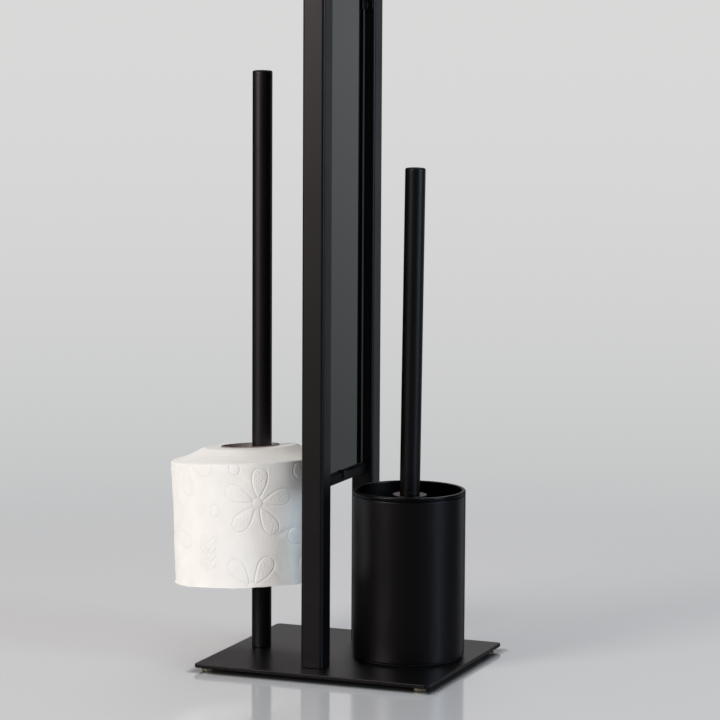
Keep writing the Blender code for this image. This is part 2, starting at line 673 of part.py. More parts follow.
def make_arm(stand):
    """The roll arm, its plug and the screw that holds it through the rail."""
    radius = ARM_DIAMETER / 2
    turn = (0.0, -math.pi / 2, 0.0)
    start = (ARM_START_X, FRAME_Y, RAIL_CENTRE_HEIGHT)
    turned("roll_arm", closed_tube_profile(radius, ARM_WALL, ARM_REACH, ARM_EDGE), BLACK_STEEL, stand,
           start, ROD_STEPS, False, turn)
    round_plug("roll_arm_plug", stand, radius - ARM_WALL - TUBE_PLUG_GAP, ARM_PLUG_LENGTH,
               ARM_SCREW_DIAMETER / 2 + SCREW_GAP, start, turn)
    shank = ARM_SCREW_DIAMETER / 2
    head = ARM_SCREW_HEAD_DIAMETER / 2
    reach = SEAT_GAP + TUBE_SIZE + SEAT_GAP + ARM_SCREW_GRIP
    edge = PLUG_EDGE
    profile = [(0.0, reach), (shank, reach), (shank, 0.0), (head, 0.0),
               (head, -ARM_SCREW_HEAD_HEIGHT + edge), (head - edge, -ARM_SCREW_HEAD_HEIGHT),
               (0.0, -ARM_SCREW_HEAD_HEIGHT)]
    seat_x = FRAME_X + TUBE_HALF + SEAT_GAP
    screw = turned("roll_arm_screw", profile, SCREW_STEEL, stand, (seat_x, FRAME_Y, RAIL_CENTRE_HEIGHT),
                   SMALL_STEPS, False, turn)
    outer = (seat_x + ARM_SCREW_HEAD_HEIGHT, FRAME_Y, RAIL_CENTRE_HEIGHT)
    recess = peg_mesh("roll_arm_screw_socket", HEX_SOCKET_RADIUS, 2 * HEX_SOCKET_DEPTH, HEX_SIDES)
    socket = place("roll_arm_screw_socket", recess, SCREW_STEEL, stand, outer, turn)
    cut(screw, as_cutter(socket))


def make_roll(stand):
    """Cardboard core and paper, in a frame that leans as the roll does."""
    lean = (math.radians(ROLL_LEAN_FRONT_DEG), math.radians(ROLL_LEAN_LEFT_DEG), 0.0)
    axis = empty("roll_axis", (ROD_X, ROD_Y, PLATE_TOP + ROLL_UNDERSIDE_HEIGHT), stand, lean)
    bore = CORE_BORE_DIAMETER / 2
    outside = bore + CORE_WALL
    top = ROLL_WIDTH + CORE_PROUD
    core = [(outside, top), (outside, 0.0), (bore, 0.0), (bore, top)]
    turned("roll_core", core, CARDBOARD, axis, (-ROLL_SHIFT, 0.0, 0.0), ROLL_STEPS, True)
    inner = outside + SEAT_GAP
    rim = ROLL_DIAMETER / 2
    slope = [(ROLL_PLATEAU_RADIUS + share * (rim - ROLL_PLATEAU_RADIUS), -drop * ROLL_DROP)
             for share, drop in ROLL_SLOPE_SHARES]
    edge = ROLL_EDGE
    profile = [(inner, ROLL_WIDTH)]
    profile += [(radius, ROLL_WIDTH + height) for radius, height in slope]
    profile += [(rim - edge, ROLL_WIDTH - ROLL_DROP), (rim, ROLL_WIDTH - ROLL_DROP - edge),
                (rim, edge - ROLL_DROP), (rim - edge, -ROLL_DROP)]
    profile += list(reversed(slope))
    profile.append((inner, 0.0))
    paper = turned("paper_roll", profile, PAPER, axis, (-ROLL_SHIFT, 0.0, 0.0), ROLL_STEPS, True)
    push_aside(paper, ROLL_PLATEAU_RADIUS, rim, ROLL_OFFSET)


def push_aside(piece, still, full, offset):
    """Slides a turned piece's outer rings along -X, by nothing at one radius and in full at another."""
    bpy.context.view_layer.update()
    seen = piece.evaluated_get(bpy.context.evaluated_depsgraph_get())
    mesh = bpy.data.meshes.new_from_object(seen)
    for vertex in mesh.vertices:
        share = (math.hypot(vertex.co.x, vertex.co.y) - still) / (full - still)
        vertex.co.x -= offset * min(max(share, 0.0), 1.0)
    piece.modifiers.clear()
    piece.data = mesh


def make_cup(stand):
    """Sleeve, liner and the ring that keeps the cup off the plate."""
    axis = empty("cup_axis", (CUP_X, CUP_Y, 0.0), stand)
    outer = CUP_RADIUS
    inner = outer - SLEEVE_WALL
    top = CUP_TOP - LIP_HEIGHT - SEAT_GAP
    floor = SLEEVE_BOTTOM + SLEEVE_WALL
    edge = SLEEVE_EDGE
    sleeve = [(0.0, floor), (inner, floor), (inner, top), (outer - edge, top), (outer, top - edge),
              (outer, SLEEVE_BOTTOM + edge), (outer - edge, SLEEVE_BOTTOM), (0.0, SLEEVE_BOTTOM)]
    turned("cup_sleeve", sleeve, BLACK_STEEL, axis, (0.0, 0.0, 0.0), CUP_STEPS)
    ring_out = RING_OUTER_DIAMETER / 2
    ring_in = ring_out - RING_WIDTH
    ring_top = CUP_BOTTOM + RING_HEIGHT
    ring = [(ring_out, ring_top), (ring_out, CUP_BOTTOM), (ring_in, CUP_BOTTOM), (ring_in, ring_top)]
    turned("cup_ring", ring, RUBBER, axis, (0.0, 0.0, 0.0), CUP_STEPS, True)
    body = LINER_OUTER_RADIUS
    bore = LINER_INNER_RADIUS
    turn = LIP_ROUND
    lip_bottom = CUP_TOP - LIP_HEIGHT
    corner = LINER_FLOOR_ROUND
    middle = ROUND_MIDDLE_SHARE * corner
    liner = [(0.0, LINER_FLOOR), (bore - corner, LINER_FLOOR), (bore - middle, LINER_FLOOR + middle),
             (bore, LINER_FLOOR + corner), (bore, CUP_TOP - turn), (bore + turn, CUP_TOP),
             (outer - turn, CUP_TOP), (outer, CUP_TOP - turn), (outer, lip_bottom), (body, lip_bottom),
             (body, LINER_BOTTOM + corner), (body - corner, LINER_BOTTOM), (0.0, LINER_BOTTOM)]
    turned("cup_liner", liner, BLACK_PLASTIC, axis, (0.0, 0.0, 0.0), CUP_STEPS)
    return axis


def make_brush(cup_axis):
    """Handle, collar, head and bristles, leaning a little in the cup."""
    turn = (0.0, math.radians(BRUSH_LEAN_DEG), 0.0)
    lean = empty("brush_axis", (BRUSH_OFFSET_X, 0.0, LINER_FLOOR + SEAT_GAP), cup_axis, turn)
    axis = empty("brush_turn", (0.0, 0.0, 0.0), lean, (0.0, 0.0, math.radians(BRUSH_TURN_DEG)))
    radius = HANDLE_DIAMETER / 2
    handle_bottom = COLLAR_TOP + SEAT_GAP
    handle = turned("brush_handle", closed_tube_profile(radius, HANDLE_WALL, HANDLE_LENGTH, HANDLE_EDGE),
                    BLACK_STEEL, axis, (0.0, 0.0, handle_bottom), ROD_STEPS)
    spigot = radius - HANDLE_WALL - TUBE_PLUG_GAP
    collar_bottom = COLLAR_TOP - COLLAR_THICKNESS
    rim = COLLAR_DIAMETER / 2
    bore = spigot + SEAT_GAP
    collar = [(bore, COLLAR_TOP), (rim - COLLAR_EDGE, COLLAR_TOP), (rim, COLLAR_TOP - COLLAR_EDGE),
              (rim, collar_bottom + COLLAR_EDGE), (rim - COLLAR_EDGE, collar_bottom), (bore, collar_bottom)]
    turned("brush_collar", collar, BLACK_STEEL, axis, (0.0, 0.0, 0.0), ROD_STEPS, True)
    head = turned("brush_head", head_profile(spigot, collar_bottom - SEAT_GAP), BLACK_PLASTIC, axis,
                  (0.0, 0.0, 0.0), ROD_STEPS)
    grub_length = radius - spigot / 2 - SEAT_GAP
    middle = (0.0, -(radius - grub_length / 2 - SEAT_GAP), handle_bottom + BRUSH_GRUB_HEIGHT)
    make_grub_screw("brush_grub_screw", handle, axis, middle, grub_length, (math.pi / 2, 0.0, 0.0))
    cut(head, bpy.data.objects["brush_grub_screw_hole"])
    make_bristles(axis)


def head_profile(spigot, shoulder):
    """The moulded head: spigot, neck, cap over the bristles, and a domed stem."""
    neck = NECK_DIAMETER / 2
    waist = NECK_WAIST_DIAMETER / 2
    waist_height = HEAD_CAP_TOP + NECK_WAIST_SHARE * (shoulder - HEAD_CAP_TOP)
    cap = HEAD_CAP_DIAMETER / 2
    cap_bottom = HEAD_CAP_TOP - HEAD_CAP_THICKNESS
    stem = BACKING_RADIUS - BACKING_WALL - SEAT_GAP
    spigot_top = COLLAR_TOP + SPIGOT_LENGTH
    edge = SPIGOT_EDGE
    profile = [(0.0, spigot_top), (spigot - edge, spigot_top), (spigot, spigot_top - edge),
               (spigot, shoulder), (neck, shoulder), (neck, shoulder - edge), (waist, waist_height),
               (waist, HEAD_CAP_TOP + edge), (waist + edge, HEAD_CAP_TOP), (cap - edge, HEAD_CAP_TOP),
               (cap, HEAD_CAP_TOP - edge), (cap, cap_bottom), (stem, cap_bottom)]
    profile += [(stem * math.cos(angle), DOME_CENTRE_HEIGHT - stem * math.sin(angle))
                for angle in dome_angles()]
    profile.append((0.0, DOME_CENTRE_HEIGHT - stem))
    return profile


def dome_angles():
    """Angles below the horizontal of the rings that round off the lower end."""
    return [0.0] + [math.radians(90.0 - angle) for angle in DOME_ROW_ANGLES_DEG]


def backing_points(radius, top):
    """Profile of the thimble's surface, from its top down to its lowest ring."""
    height = top - DOME_CENTRE_HEIGHT
    rows = [(radius, top - height * row / BACKING_ROWS) for row in range(BACKING_ROWS)]
    rows += [(radius * math.cos(angle), DOME_CENTRE_HEIGHT - radius * math.sin(angle))
             for angle in dome_angles()]
    return rows


def ring_of(bm, radius, height):
    """A level ring of points about the axis."""
    ring = []
    for step in range(BACKING_STEPS):
        angle = math.tau * step / BACKING_STEPS
        ring.append(bm.verts.new((radius * math.cos(angle), radius * math.sin(angle), height)))
    return ring


def make_bristles(axis):
    """A thimble of backing whose facets each grow one three or four-sided strand."""
    top = HEAD_CAP_TOP - HEAD_CAP_THICKNESS - SEAT_GAP
    bm = bmesh.new()
    outer = [ring_of(bm, radius, height) for radius, height in backing_points(BACKING_RADIUS, top)]
    inner = [ring_of(bm, radius, height)
             for radius, height in backing_points(BACKING_RADIUS - BACKING_WALL, top)]
    growing = []
    for upper, lower in zip(outer, outer[1:]):
        for step in range(BACKING_STEPS):
            after = (step + 1) % BACKING_STEPS
            growing.append(bm.faces.new((upper[step], lower[step], lower[after], upper[after])))
    growing.append(bm.faces.new(list(reversed(outer[-1]))))
    for upper, lower in zip(inner, inner[1:]):
        for step in range(BACKING_STEPS):
            after = (step + 1) % BACKING_STEPS
            bm.faces.new((upper[after], lower[after], lower[step], upper[step]))
    bm.faces.new(inner[-1])
    for step in range(BACKING_STEPS):
        after = (step + 1) % BACKING_STEPS
        bm.faces.new((outer[0][step], outer[0][after], inner[0][after], inner[0][step]))
    side_faces = [face for face in growing if face.calc_center_median().z > DOME_CENTRE_HEIGHT]
    dome_faces = [face for face in growing if face not in side_faces]
    halves = bmesh.ops.triangulate(bm, faces=side_faces)["faces"]
    grow_strands(bm, halves + dome_faces, top)
    bmesh.ops.recalc_face_normals(bm, faces=bm.faces)
    mesh = bpy.data.meshes.new("brush_bristles")
    bm.to_mesh(mesh)
    bm.free()
    place("brush_bristles", mesh, BRISTLE, axis)


def grow_strands(bm, faces, top):
    """Insets each facet and draws its middle out to the bristles' envelope."""
    draw = random.Random(BRISTLE_SEED)
    bmesh.ops.inset_individual(bm, faces=faces, thickness=STRAND_INSET)
    for face in bmesh.ops.extrude_discrete_faces(bm, faces=faces)["faces"]:
        root = face.calc_center_median()
        below = root.z < DOME_CENTRE_HEIGHT
        start = Vector((0.0, 0.0, DOME_CENTRE_HEIGHT if below else root.z))
        out = (root - start).normalized()
        sink = max(-out.z, 0.0)
        reach = BRISTLE_RADIUS + (DOME_CENTRE_HEIGHT - BRISTLE_RADIUS) * sink
        reach -= BRISTLE_JITTER * draw.random() * (1.0 - sink)
        tip = start + out * reach
        tip.z = min(tip.z, top - BRISTLE_TOP_MARGIN)
        for corner in face.verts:
            corner.co = tip + (corner.co - root) * STRAND_TIP_SHARE


def main():
    stand = empty("stand_frame", (-ORIGIN_X, 0.0, 0.0))
    make_base(stand)
    make_base_screws(stand)
    make_frame(stand)
    make_glass(stand)
    make_rod(stand)
    make_arm(stand)
    make_roll(stand)
    make_brush(make_cup(stand))
    bpy.context.view_layer.update()


main()
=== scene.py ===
import math

import bmesh
import bpy
import numpy as np
from mathutils import Matrix, Vector


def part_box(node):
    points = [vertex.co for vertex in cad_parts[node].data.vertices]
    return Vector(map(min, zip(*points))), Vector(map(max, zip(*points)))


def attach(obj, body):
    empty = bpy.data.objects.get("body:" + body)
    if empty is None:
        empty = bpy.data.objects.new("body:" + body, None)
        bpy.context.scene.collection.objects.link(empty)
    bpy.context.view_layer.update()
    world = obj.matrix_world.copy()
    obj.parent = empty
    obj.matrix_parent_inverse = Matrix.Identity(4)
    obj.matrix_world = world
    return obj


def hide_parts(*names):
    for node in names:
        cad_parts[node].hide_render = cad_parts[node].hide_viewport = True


# Toilet butler stand, dressed for the camera. Metres, +Z up, the floor at zero.
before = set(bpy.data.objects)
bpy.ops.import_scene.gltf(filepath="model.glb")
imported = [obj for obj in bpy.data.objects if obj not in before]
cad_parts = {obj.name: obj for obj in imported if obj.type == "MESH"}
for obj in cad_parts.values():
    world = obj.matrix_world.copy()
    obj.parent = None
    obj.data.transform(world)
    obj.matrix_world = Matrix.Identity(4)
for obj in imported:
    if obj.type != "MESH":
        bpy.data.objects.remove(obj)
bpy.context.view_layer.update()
print("frame loaded:", len(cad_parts), "nodes")


# Camera, at the place fitted to the straight edges of the photograph
cameraSettings = dict(
    turns=(21.54, 7.2, 0.31),  # degrees round the stand, above the horizon and of tilt
    distance=2.626, lens=163.7, sensor=36.0, clip=(0.05, 50.0),
    plateCentre=0.0284,  # x of the middle of the base plate
    targetSide=0.0069,  # how far the aim lies right of it, in the picture
    targetHeight=0.2459,
)


def makeCamera(s):
    a, e, r = (math.radians(turn) for turn in s["turns"])
    back = Vector((math.sin(a) * math.cos(e), -math.cos(a) * math.cos(e), math.sin(e)))
    level = Vector((math.cos(a), math.sin(a), 0.0))
    upright = back.cross(level)
    right = level * math.cos(r) + upright * math.sin(r)
    up = upright * math.cos(r) - level * math.sin(r)
    target = Vector((s["plateCentre"], 0.0, s["targetHeight"])) + level * s["targetSide"]
    data = bpy.data.cameras.new("camera")
    data.lens = s["lens"]
    data.sensor_width = s["sensor"]
    data.clip_start, data.clip_end = s["clip"]
    camera = bpy.data.objects.new("camera", data)
    bpy.context.scene.collection.objects.link(camera)
    turn = Matrix((right, up, back)).transposed().to_4x4()
    camera.matrix_world = Matrix.Translation(target + back * s["distance"]) @ turn
    bpy.context.scene.camera = camera


makeCamera(cameraSettings)


# Shapes. Each is a grid of points worked out as one array, then joined by quads.

def gridFaces(rows, columns, closeRows=False):
    # the quad at (row, column) joins it to the next row and to the next column, which wraps round
    row = np.arange(rows if closeRows else rows - 1)[:, None]
    column = np.arange(columns)[None, :]
    nextRow, nextColumn = (row + 1) % rows, (column + 1) % columns
    corners = (row * columns + column, row * columns + nextColumn,
               nextRow * columns + nextColumn, nextRow * columns + column)
    return np.stack(np.broadcast_arrays(*corners), -1).reshape(-1, 4).tolist()


def roundCorners(corners, radii, closed=True, steps=8):
    # a corner becomes an arc touching both sides: centre + radius (cos, sin) of an evenly stepped angle
    corners = np.asarray(corners, float)
    radii = np.broadcast_to(np.asarray(radii, float), (len(corners),))
    path = []
    for index, corner in enumerate(corners):
        if radii[index] == 0 or (not closed and index in (0, len(corners) - 1)):
            path.append(corner[None])
            continue
        before = corners[index - 1] - corner
        after = corners[(index + 1) % len(corners)] - corner
        before = before / np.linalg.norm(before)
        after = after / np.linalg.norm(after)
        half = math.acos(np.clip(before @ after, -1.0, 1.0)) / 2
        middle = (before + after) / np.linalg.norm(before + after)
        centre = corner + middle * radii[index] / math.sin(half)
        start = corner + before * radii[index] / math.tan(half) - centre
        end = corner + after * radii[index] / math.tan(half) - centre
        first = math.atan2(start[1], start[0])
        sweep = (math.atan2(end[1], end[0]) - first + math.pi) % math.tau - math.pi
        angles = first + sweep * np.linspace(0.0, 1.0, steps + 1)
        path.append(centre + radii[index] * np.stack([np.cos(angles), np.sin(angles)], 1))
    return np.concatenate(path)


def rectangle(width, depth, radius, steps=8):
    x, y = width / 2, depth / 2
    return roundCorners([(x, y), (-x, y), (-x, -y), (x, -y)], radius, steps=steps)


def turnedGrid(profile, steps, loop=False, hexShare=None):
    # point = (radius cos a, radius sin a, height); where hexShare is 1 the radius follows a hexagon:
    # radius * cos 30 / cos(a - nearest flat's angle)
    profile = np.asarray(profile, float)
    angles = np.arange(steps) * math.tau / steps
    radius = np.repeat(profile[:, :1], steps, 1)
    if hexShare is not None:
        hexagon = math.cos(math.pi / 6) / np.cos((angles % (math.pi / 3)) - math.pi / 6)
        share = np.asarray(hexShare, float)[:, None]
        radius = radius * (1 - share + share * hexagon)
    points = np.stack([radius * np.cos(angles), radius * np.sin(angles),
                       np.repeat(profile[:, 1:], steps, 1)], -1)
    return points.reshape(-1, 3), gridFaces(len(profile), steps, loop)


def outlineNormals(outline):
    # the outward normal is the chord between a point's two neighbours, turned a quarter
    chord = np.roll(outline, -1, 0) - np.roll(outline, 1, 0)
    normal = np.stack([chord[:, 1], -chord[:, 0]], 1)
    return normal / np.linalg.norm(normal, axis=1)[:, None]


def slabGrid(outline, bottom, top, edge, steps=5):
    # an outline carried up from bottom to top; near both ends it moves inwards on a quarter-round
    angle = np.linspace(0.0, math.pi / 2, steps + 1)
    inset = edge * (1 - np.sin(angle))
    rise = edge * (1 - np.cos(angle))
    insets = np.concatenate([inset, inset[::-1]])
    heights = np.concatenate([bottom + rise, top - rise[::-1]])
    ring = outline[None] - outlineNormals(outline)[None] * insets[:, None, None]
    count = len(outline)
    level = np.repeat(heights[:, None, None], count, 1)
    faces = gridFaces(len(insets), count)
    last = (len(insets) - 1) * count
    faces += [list(range(count))[::-1], list(range(last, last + count))]
    return np.concatenate([ring, level], 2).reshape(-1, 3), faces


def squareTubeGrid(s, size, low, high):
    # the outer outline runs up and the inner one down; low and high give the end heights as
    # functions of an outline's second coordinate, so that an end can be a mitre
    edge, bore = s["footEdge"], size - 2 * s["wall"]
    outer = rectangle(size, size, s["outerRadius"])
    inner = rectangle(bore, bore, s["innerRadius"])
    trimmed = outer - outlineNormals(outer) * edge
    rows = []
    for outline, share, step in ((trimmed, 0, 0), (outer, 0, edge), (outer, 1, -edge), (trimmed, 1, 0),
                                 (inner, 1, 0), (inner, 0, 0)):
        height = low(outline[:, 1]) * (1 - share) + high(outline[:, 1]) * share + step
        rows.append(np.column_stack([outline, height]))
    return np.concatenate(rows), gridFaces(len(rows), len(outer), closeRows=True)


def laidDown(grid):
    # what was drawn along Z lies along Y: (x, y, z) becomes (x, z, y)
    return grid[0][:, [0, 2, 1]], grid[1]


def moved(points, place):
    # by an offset or by a matrix
    table = np.array(place, float)
    points = np.asarray(points, float)
    return points + table if table.ndim == 1 else points @ table[:3, :3].T + table[:3, 3]


def newPiece(name, grid, place, material):
    # a mesh whose seams and poles are merged and whose faces point outwards
    mesh = bpy.data.meshes.new(name)
    mesh.from_pydata(moved(grid[0], place).tolist(), [], grid[1])
    form = bmesh.new()
    form.from_mesh(mesh)
    bmesh.ops.remove_doubles(form, verts=form.verts, dist=1e-7)
    bmesh.ops.recalc_face_normals(form, faces=form.faces)
    form.to_mesh(mesh)
    form.free()
    piece = bpy.data.objects.new(name, mesh)
    bpy.context.scene.collection.objects.link(piece)
    mesh.materials.append(material)
    return piece


def carve(piece, cutters):
    # cuts the shapes out for good and removes them
    for cutter in cutters:
        step = piece.modifiers.new("carve", 'BOOLEAN')
        step.operation = 'DIFFERENCE'
        step.solver = 'EXACT'
        step.object = cutter
    bpy.context.view_layer.update()
    seen = piece.evaluated_get(bpy.context.evaluated_depsgraph_get())
    mesh = bpy.data.meshes.new_from_object(seen)
    piece.modifiers.clear()
    piece.data = mesh
    for cutter in cutters:
        bpy.data.objects.remove(cutter)


smoothAngle = math.radians(34.0)   # sharper edges than this stay crisp


def finishPiece(piece, body, slot, node, weighted=True):
    # smooth shading that leaves flat faces flat, then the body and the CAD node it stands for
    piece.data.shade_smooth()
    piece.data.set_sharp_from_angle(angle=smoothAngle)
    if weighted:
        normals = piece.modifiers.new("flat faces", 'WEIGHTED_NORMAL')
        normals.keep_sharp = True
    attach(piece, body)
    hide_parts(node)
    return piece


def addPiece(name, grid, place, material, *finish, weighted=True):
    return finishPiece(newPiece(name, grid, place, material), *finish, weighted=weighted)


def extent(node):
    # the low and high corners of a CAD node's box, and its middle
    low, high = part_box(node)
    return low, high, (low + high) / 2


# Short forms for shader trees

def feed(node, inputs):
    # inputs maps a socket's name or number to another node's output or to a value, colours as RGB
    for key, value in dict(inputs).items():
        socket = node.inputs[key]
        if isinstance(value, bpy.types.NodeSocket):
            node.id_data.links.new(value, socket)
        else:
            socket.default_value = (*value, 1.0) if socket.type == 'RGBA' else value


def newMaterial(name, colour, roughness, inputs=()):
    # inputs holds more values for the shader's own sockets
    material = bpy.data.materials.new(name)
    material.use_nodes = True
    shader = material.node_tree.nodes["Principled BSDF"]
    feed(shader, {"Base Color": colour, "Roughness": roughness, **dict(inputs)})
    return material, material.node_tree, shader


def addNode(tree, kind, inputs=(), out=0, **settings):
    # returns one of the new node's outputs
    node = tree.nodes.new('ShaderNode' + kind)
    for key, value in settings.items():
        setattr(node, key, value)
    feed(node, inputs)
    return node.outputs[out]


def objectPoints(tree, scale=(1.0, 1.0, 1.0), move=(0.0, 0.0, 0.0)):
    source = addNode(tree, 'TexCoord', out="Object")
    return addNode(tree, 'Mapping', {"Vector": source, "Scale": scale, "Location": move})


def splitAxes(vector):
    return addNode(vector.id_data, 'SeparateXYZ', {0: vector}).node.outputs


def noise(points, scale, detail=2.0, roughness=0.5):
    inputs = {"Vector": points, "Scale": scale, "Detail": detail, "Roughness": roughness}
    return addNode(points.id_data, 'TexNoise', inputs)


def spread(value, ends, to=(0.0, 1.0), smooth=False):
    # carries the range between the ends over to another one
    inputs = dict(zip(("Value", "From Min", "From Max", "To Min", "To Max"), (value, *ends, *to)))
    kind = 'SMOOTHSTEP' if smooth else 'LINEAR'
    return addNode(value.id_data, 'MapRange', inputs, interpolation_type=kind)


def compute(operation, *values):
    # the first value is always an output
    return addNode(values[0].id_data, 'Math', dict(enumerate(values)), operation=operation)


def multiply(first, second):
    return compute('MULTIPLY', first, second)


def mixShaders(share, first, second):
    return addNode(share.id_data, 'MixShader', {0: share, 1: first, 2: second})


def blendColours(share, first, second):
    return addNode(share.id_data, 'Mix', {0: share, 6: first, 7: second}, 2, data_type='RGBA')


def addTint(shader, field, ends, first, second):
    # the base colour goes from first to second as the field goes from end to end
    feed(shader, {"Base Color": blendColours(spread(field, ends), first, second)})


def addBump(shader, height, distance, under=None):
    inputs = {"Height": height, "Distance": distance}
    if under is not None:
        inputs["Normal"] = under
    bump = addNode(shader.id_data, 'Bump', inputs)
    feed(shader, {"Normal": bump})
    return bump


# Satin black powder coat: a fine orange peel and a faint cloudiness of the gloss
powderSettings = dict(
    colour=(0.0006, 0.0006, 0.0007), paler=(0.0014, 0.0013, 0.0013),
    mirrorTint=(1.0, 0.915, 0.955),  # what it mirrors looks a little less green
    rough=(0.385, 0.43),
    grazing=0.36,  # share of the roughness left where the surface is seen edge on
    grazingEnds=(0.6, 0.9), topEnds=(0.6, 0.9),
    peel=(520.0, 2.0, 0.45),  # about 2 mm waves
    peelHeight=0.00001, grain=(2600.0, 1.0), grainEnds=(0.35, 0.75), grainHeight=0.000004,
    cloud=(16.0, 3.0, 0.6), cloudEnds=(0.3, 0.7),
)


def makePowder(name, s, roughShift=0.0, mattTop=False, gloss=0.5):
    material, tree, shader = newMaterial(name, s["colour"], s["rough"][0], {
        "Specular IOR Level": gloss, "Specular Tint": s["mirrorTint"]})
    points = objectPoints(tree)
    cloud = noise(points, *s["cloud"])
    rough = spread(cloud, s["cloudEnds"], [end + roughShift for end in s["rough"]])
    facing = addNode(tree, 'LayerWeight', {"Blend": 0.5}, "Facing")
    rough = multiply(rough, spread(facing, s["grazingEnds"], (1.0, s["grazing"]), True))
    if mattTop:
        # faces that look up are rougher
        normal = addNode(tree, 'NewGeometry', out="True Normal")
        rough = compute('MAXIMUM', rough, spread(splitAxes(normal)[2], s["topEnds"]))
    feed(shader, {"Roughness": rough})
    grain = noise(points, *s["grain"])
    addTint(shader, grain, s["grainEnds"], s["colour"], s["paler"])
    wave = addBump(shader, noise(points, *s["peel"]), s["peelHeight"])
    addBump(shader, grain, s["grainHeight"], wave)
    return material


# Black glass: polished faces, and along its upright edges a paler strip: the ground edge with a painted glow
# of light scattered through it
glassSettings = dict(
    colour=(0.0004, 0.0005, 0.0006), ior=1.52, groundEdgeGlow=(0.056, 0.052, 0.048), groundEdgeGlowWidth=0.004,
    groundEdgeGlowFade=0.0004, smear=(22.0, 3.0, 0.55), smearEnds=(0.35, 0.75), rough=(0.025, 0.05),
    edgeRoughness=0.35,
)


def makeGlassFinish(s):
    low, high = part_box("glass_panel")
    middle, half = (low.y + high.y) / 2, (high.y - low.y) / 2
    material, tree, shader = newMaterial("blackGlass", s["colour"], s["rough"][0], {"IOR": s["ior"]})
    reach = compute('ABSOLUTE', splitAxes(objectPoints(tree, move=(0.0, -middle, 0.0)))[1])
    # the paler edge strip, on both faces: the glass's ground edge, with a painted glow of light scattered
    # through it
    start = half - s["groundEdgeGlowWidth"]
    groundEdgeGlow = spread(reach, (start, start + s["groundEdgeGlowFade"]), smooth=True)
    feed(shader, {"Base Color": blendColours(groundEdgeGlow, s["colour"], s["groundEdgeGlow"])})
    polished = spread(noise(objectPoints(tree), *s["smear"]), s["smearEnds"], s["rough"])
    feed(shader, {"Roughness": addNode(tree, 'Mix', {0: groundEdgeGlow, 2: polished, 3: s["edgeRoughness"]})})
    return material


# Tissue: white, soft, with a fine diagonal micro-embossing on the piece's own UV map,
# whose units are metres round the roll and along it
tissueSettings = dict(
    colour=(0.85, 0.832, 0.803), shade=(0.8, 0.78, 0.748), roughness=0.95, gloss=0.25,
    cloud=(55.0, 3.0, 0.6), cloudEnds=(0.3, 0.7), fibres=(1300.0, 4.0, 0.65), fibreHeight=0.00005,
    microPitch=0.0016, microHeight=0.00005, lineWidth=0.00045, lineDepth=0.0002, dotPitch=0.004,
    dotDepth=0.00016,
    dotInset=(-0.0024, -0.0014),  # distances from the outline where the dots are full and gone
)


def makeTissue(name, s, micro=True):
    material, tree, shader = newMaterial(name, s["colour"], s["roughness"],
                                         {"Specular IOR Level": s["gloss"]})
    points = objectPoints(tree)
    addTint(shader, noise(points, *s["cloud"]), s["cloudEnds"], s["shade"], s["colour"])
    under = addBump(shader, noise(points, *s["fibres"]), s["fibreHeight"])
    if not micro:
        return material
    # height = sin of the way along one diagonal times sin of the way along the other
    flat = addNode(tree, 'UVMap', uv_map="sheet")
    turned = addNode(tree, 'Mapping', {"Vector": flat, "Rotation": (0, 0, math.pi / 4),
                                       "Scale": (math.tau / s["microPitch"],) * 3})
    first, second = [compute('SINE', axis) for axis in splitAxes(turned)[:2]]
    under = addBump(shader, multiply(first, second), s["microHeight"], under)
    # outline = bell on the motif attribute's distance; dots = cosines along and across a petal
    motif = addNode(tree, 'Attribute', out="Vector", attribute_name="motif")
    away, along, across = splitAxes(motif)
    ratio = compute('DIVIDE', away, s["lineWidth"])
    bell = compute('EXPONENT', multiply(multiply(ratio, ratio), -1.0))
    first, second = [compute('COSINE', multiply(axis, math.tau / s["dotPitch"]))
                     for axis in (along, across)]
    dots = compute('MAXIMUM', multiply(first, second), 0.0)
    inner = spread(away, s["dotInset"], (1.0, 0.0))
    dots = multiply(multiply(dots, inner), compute('GREATER_THAN', along, 0.0))
    lines = compute('MULTIPLY_ADD', dots, -s["dotDepth"], multiply(bell, -s["lineDepth"]))
    addBump(shader, lines, 1.0, under)
    return material


# Plainer finishes. A noise, given as (scale, detail, roughness), drives each of the tint, the
# roughness and the bump: the screws' turning marks, dust on the rubber, haze in the pads, fibres of
# the board's spiral ply and slow flow waves in moulded plastic
def plastic(colour, rough, gloss):
    return {"colour": colour, "rough": rough, "inputs": {"Specular IOR Level": gloss},
            "roughBy": ((35.0, 3.0), (rough * 0.85, rough * 1.2)), "bumpBy": ((60.0, 2.0, 0.4), 0.00002)}


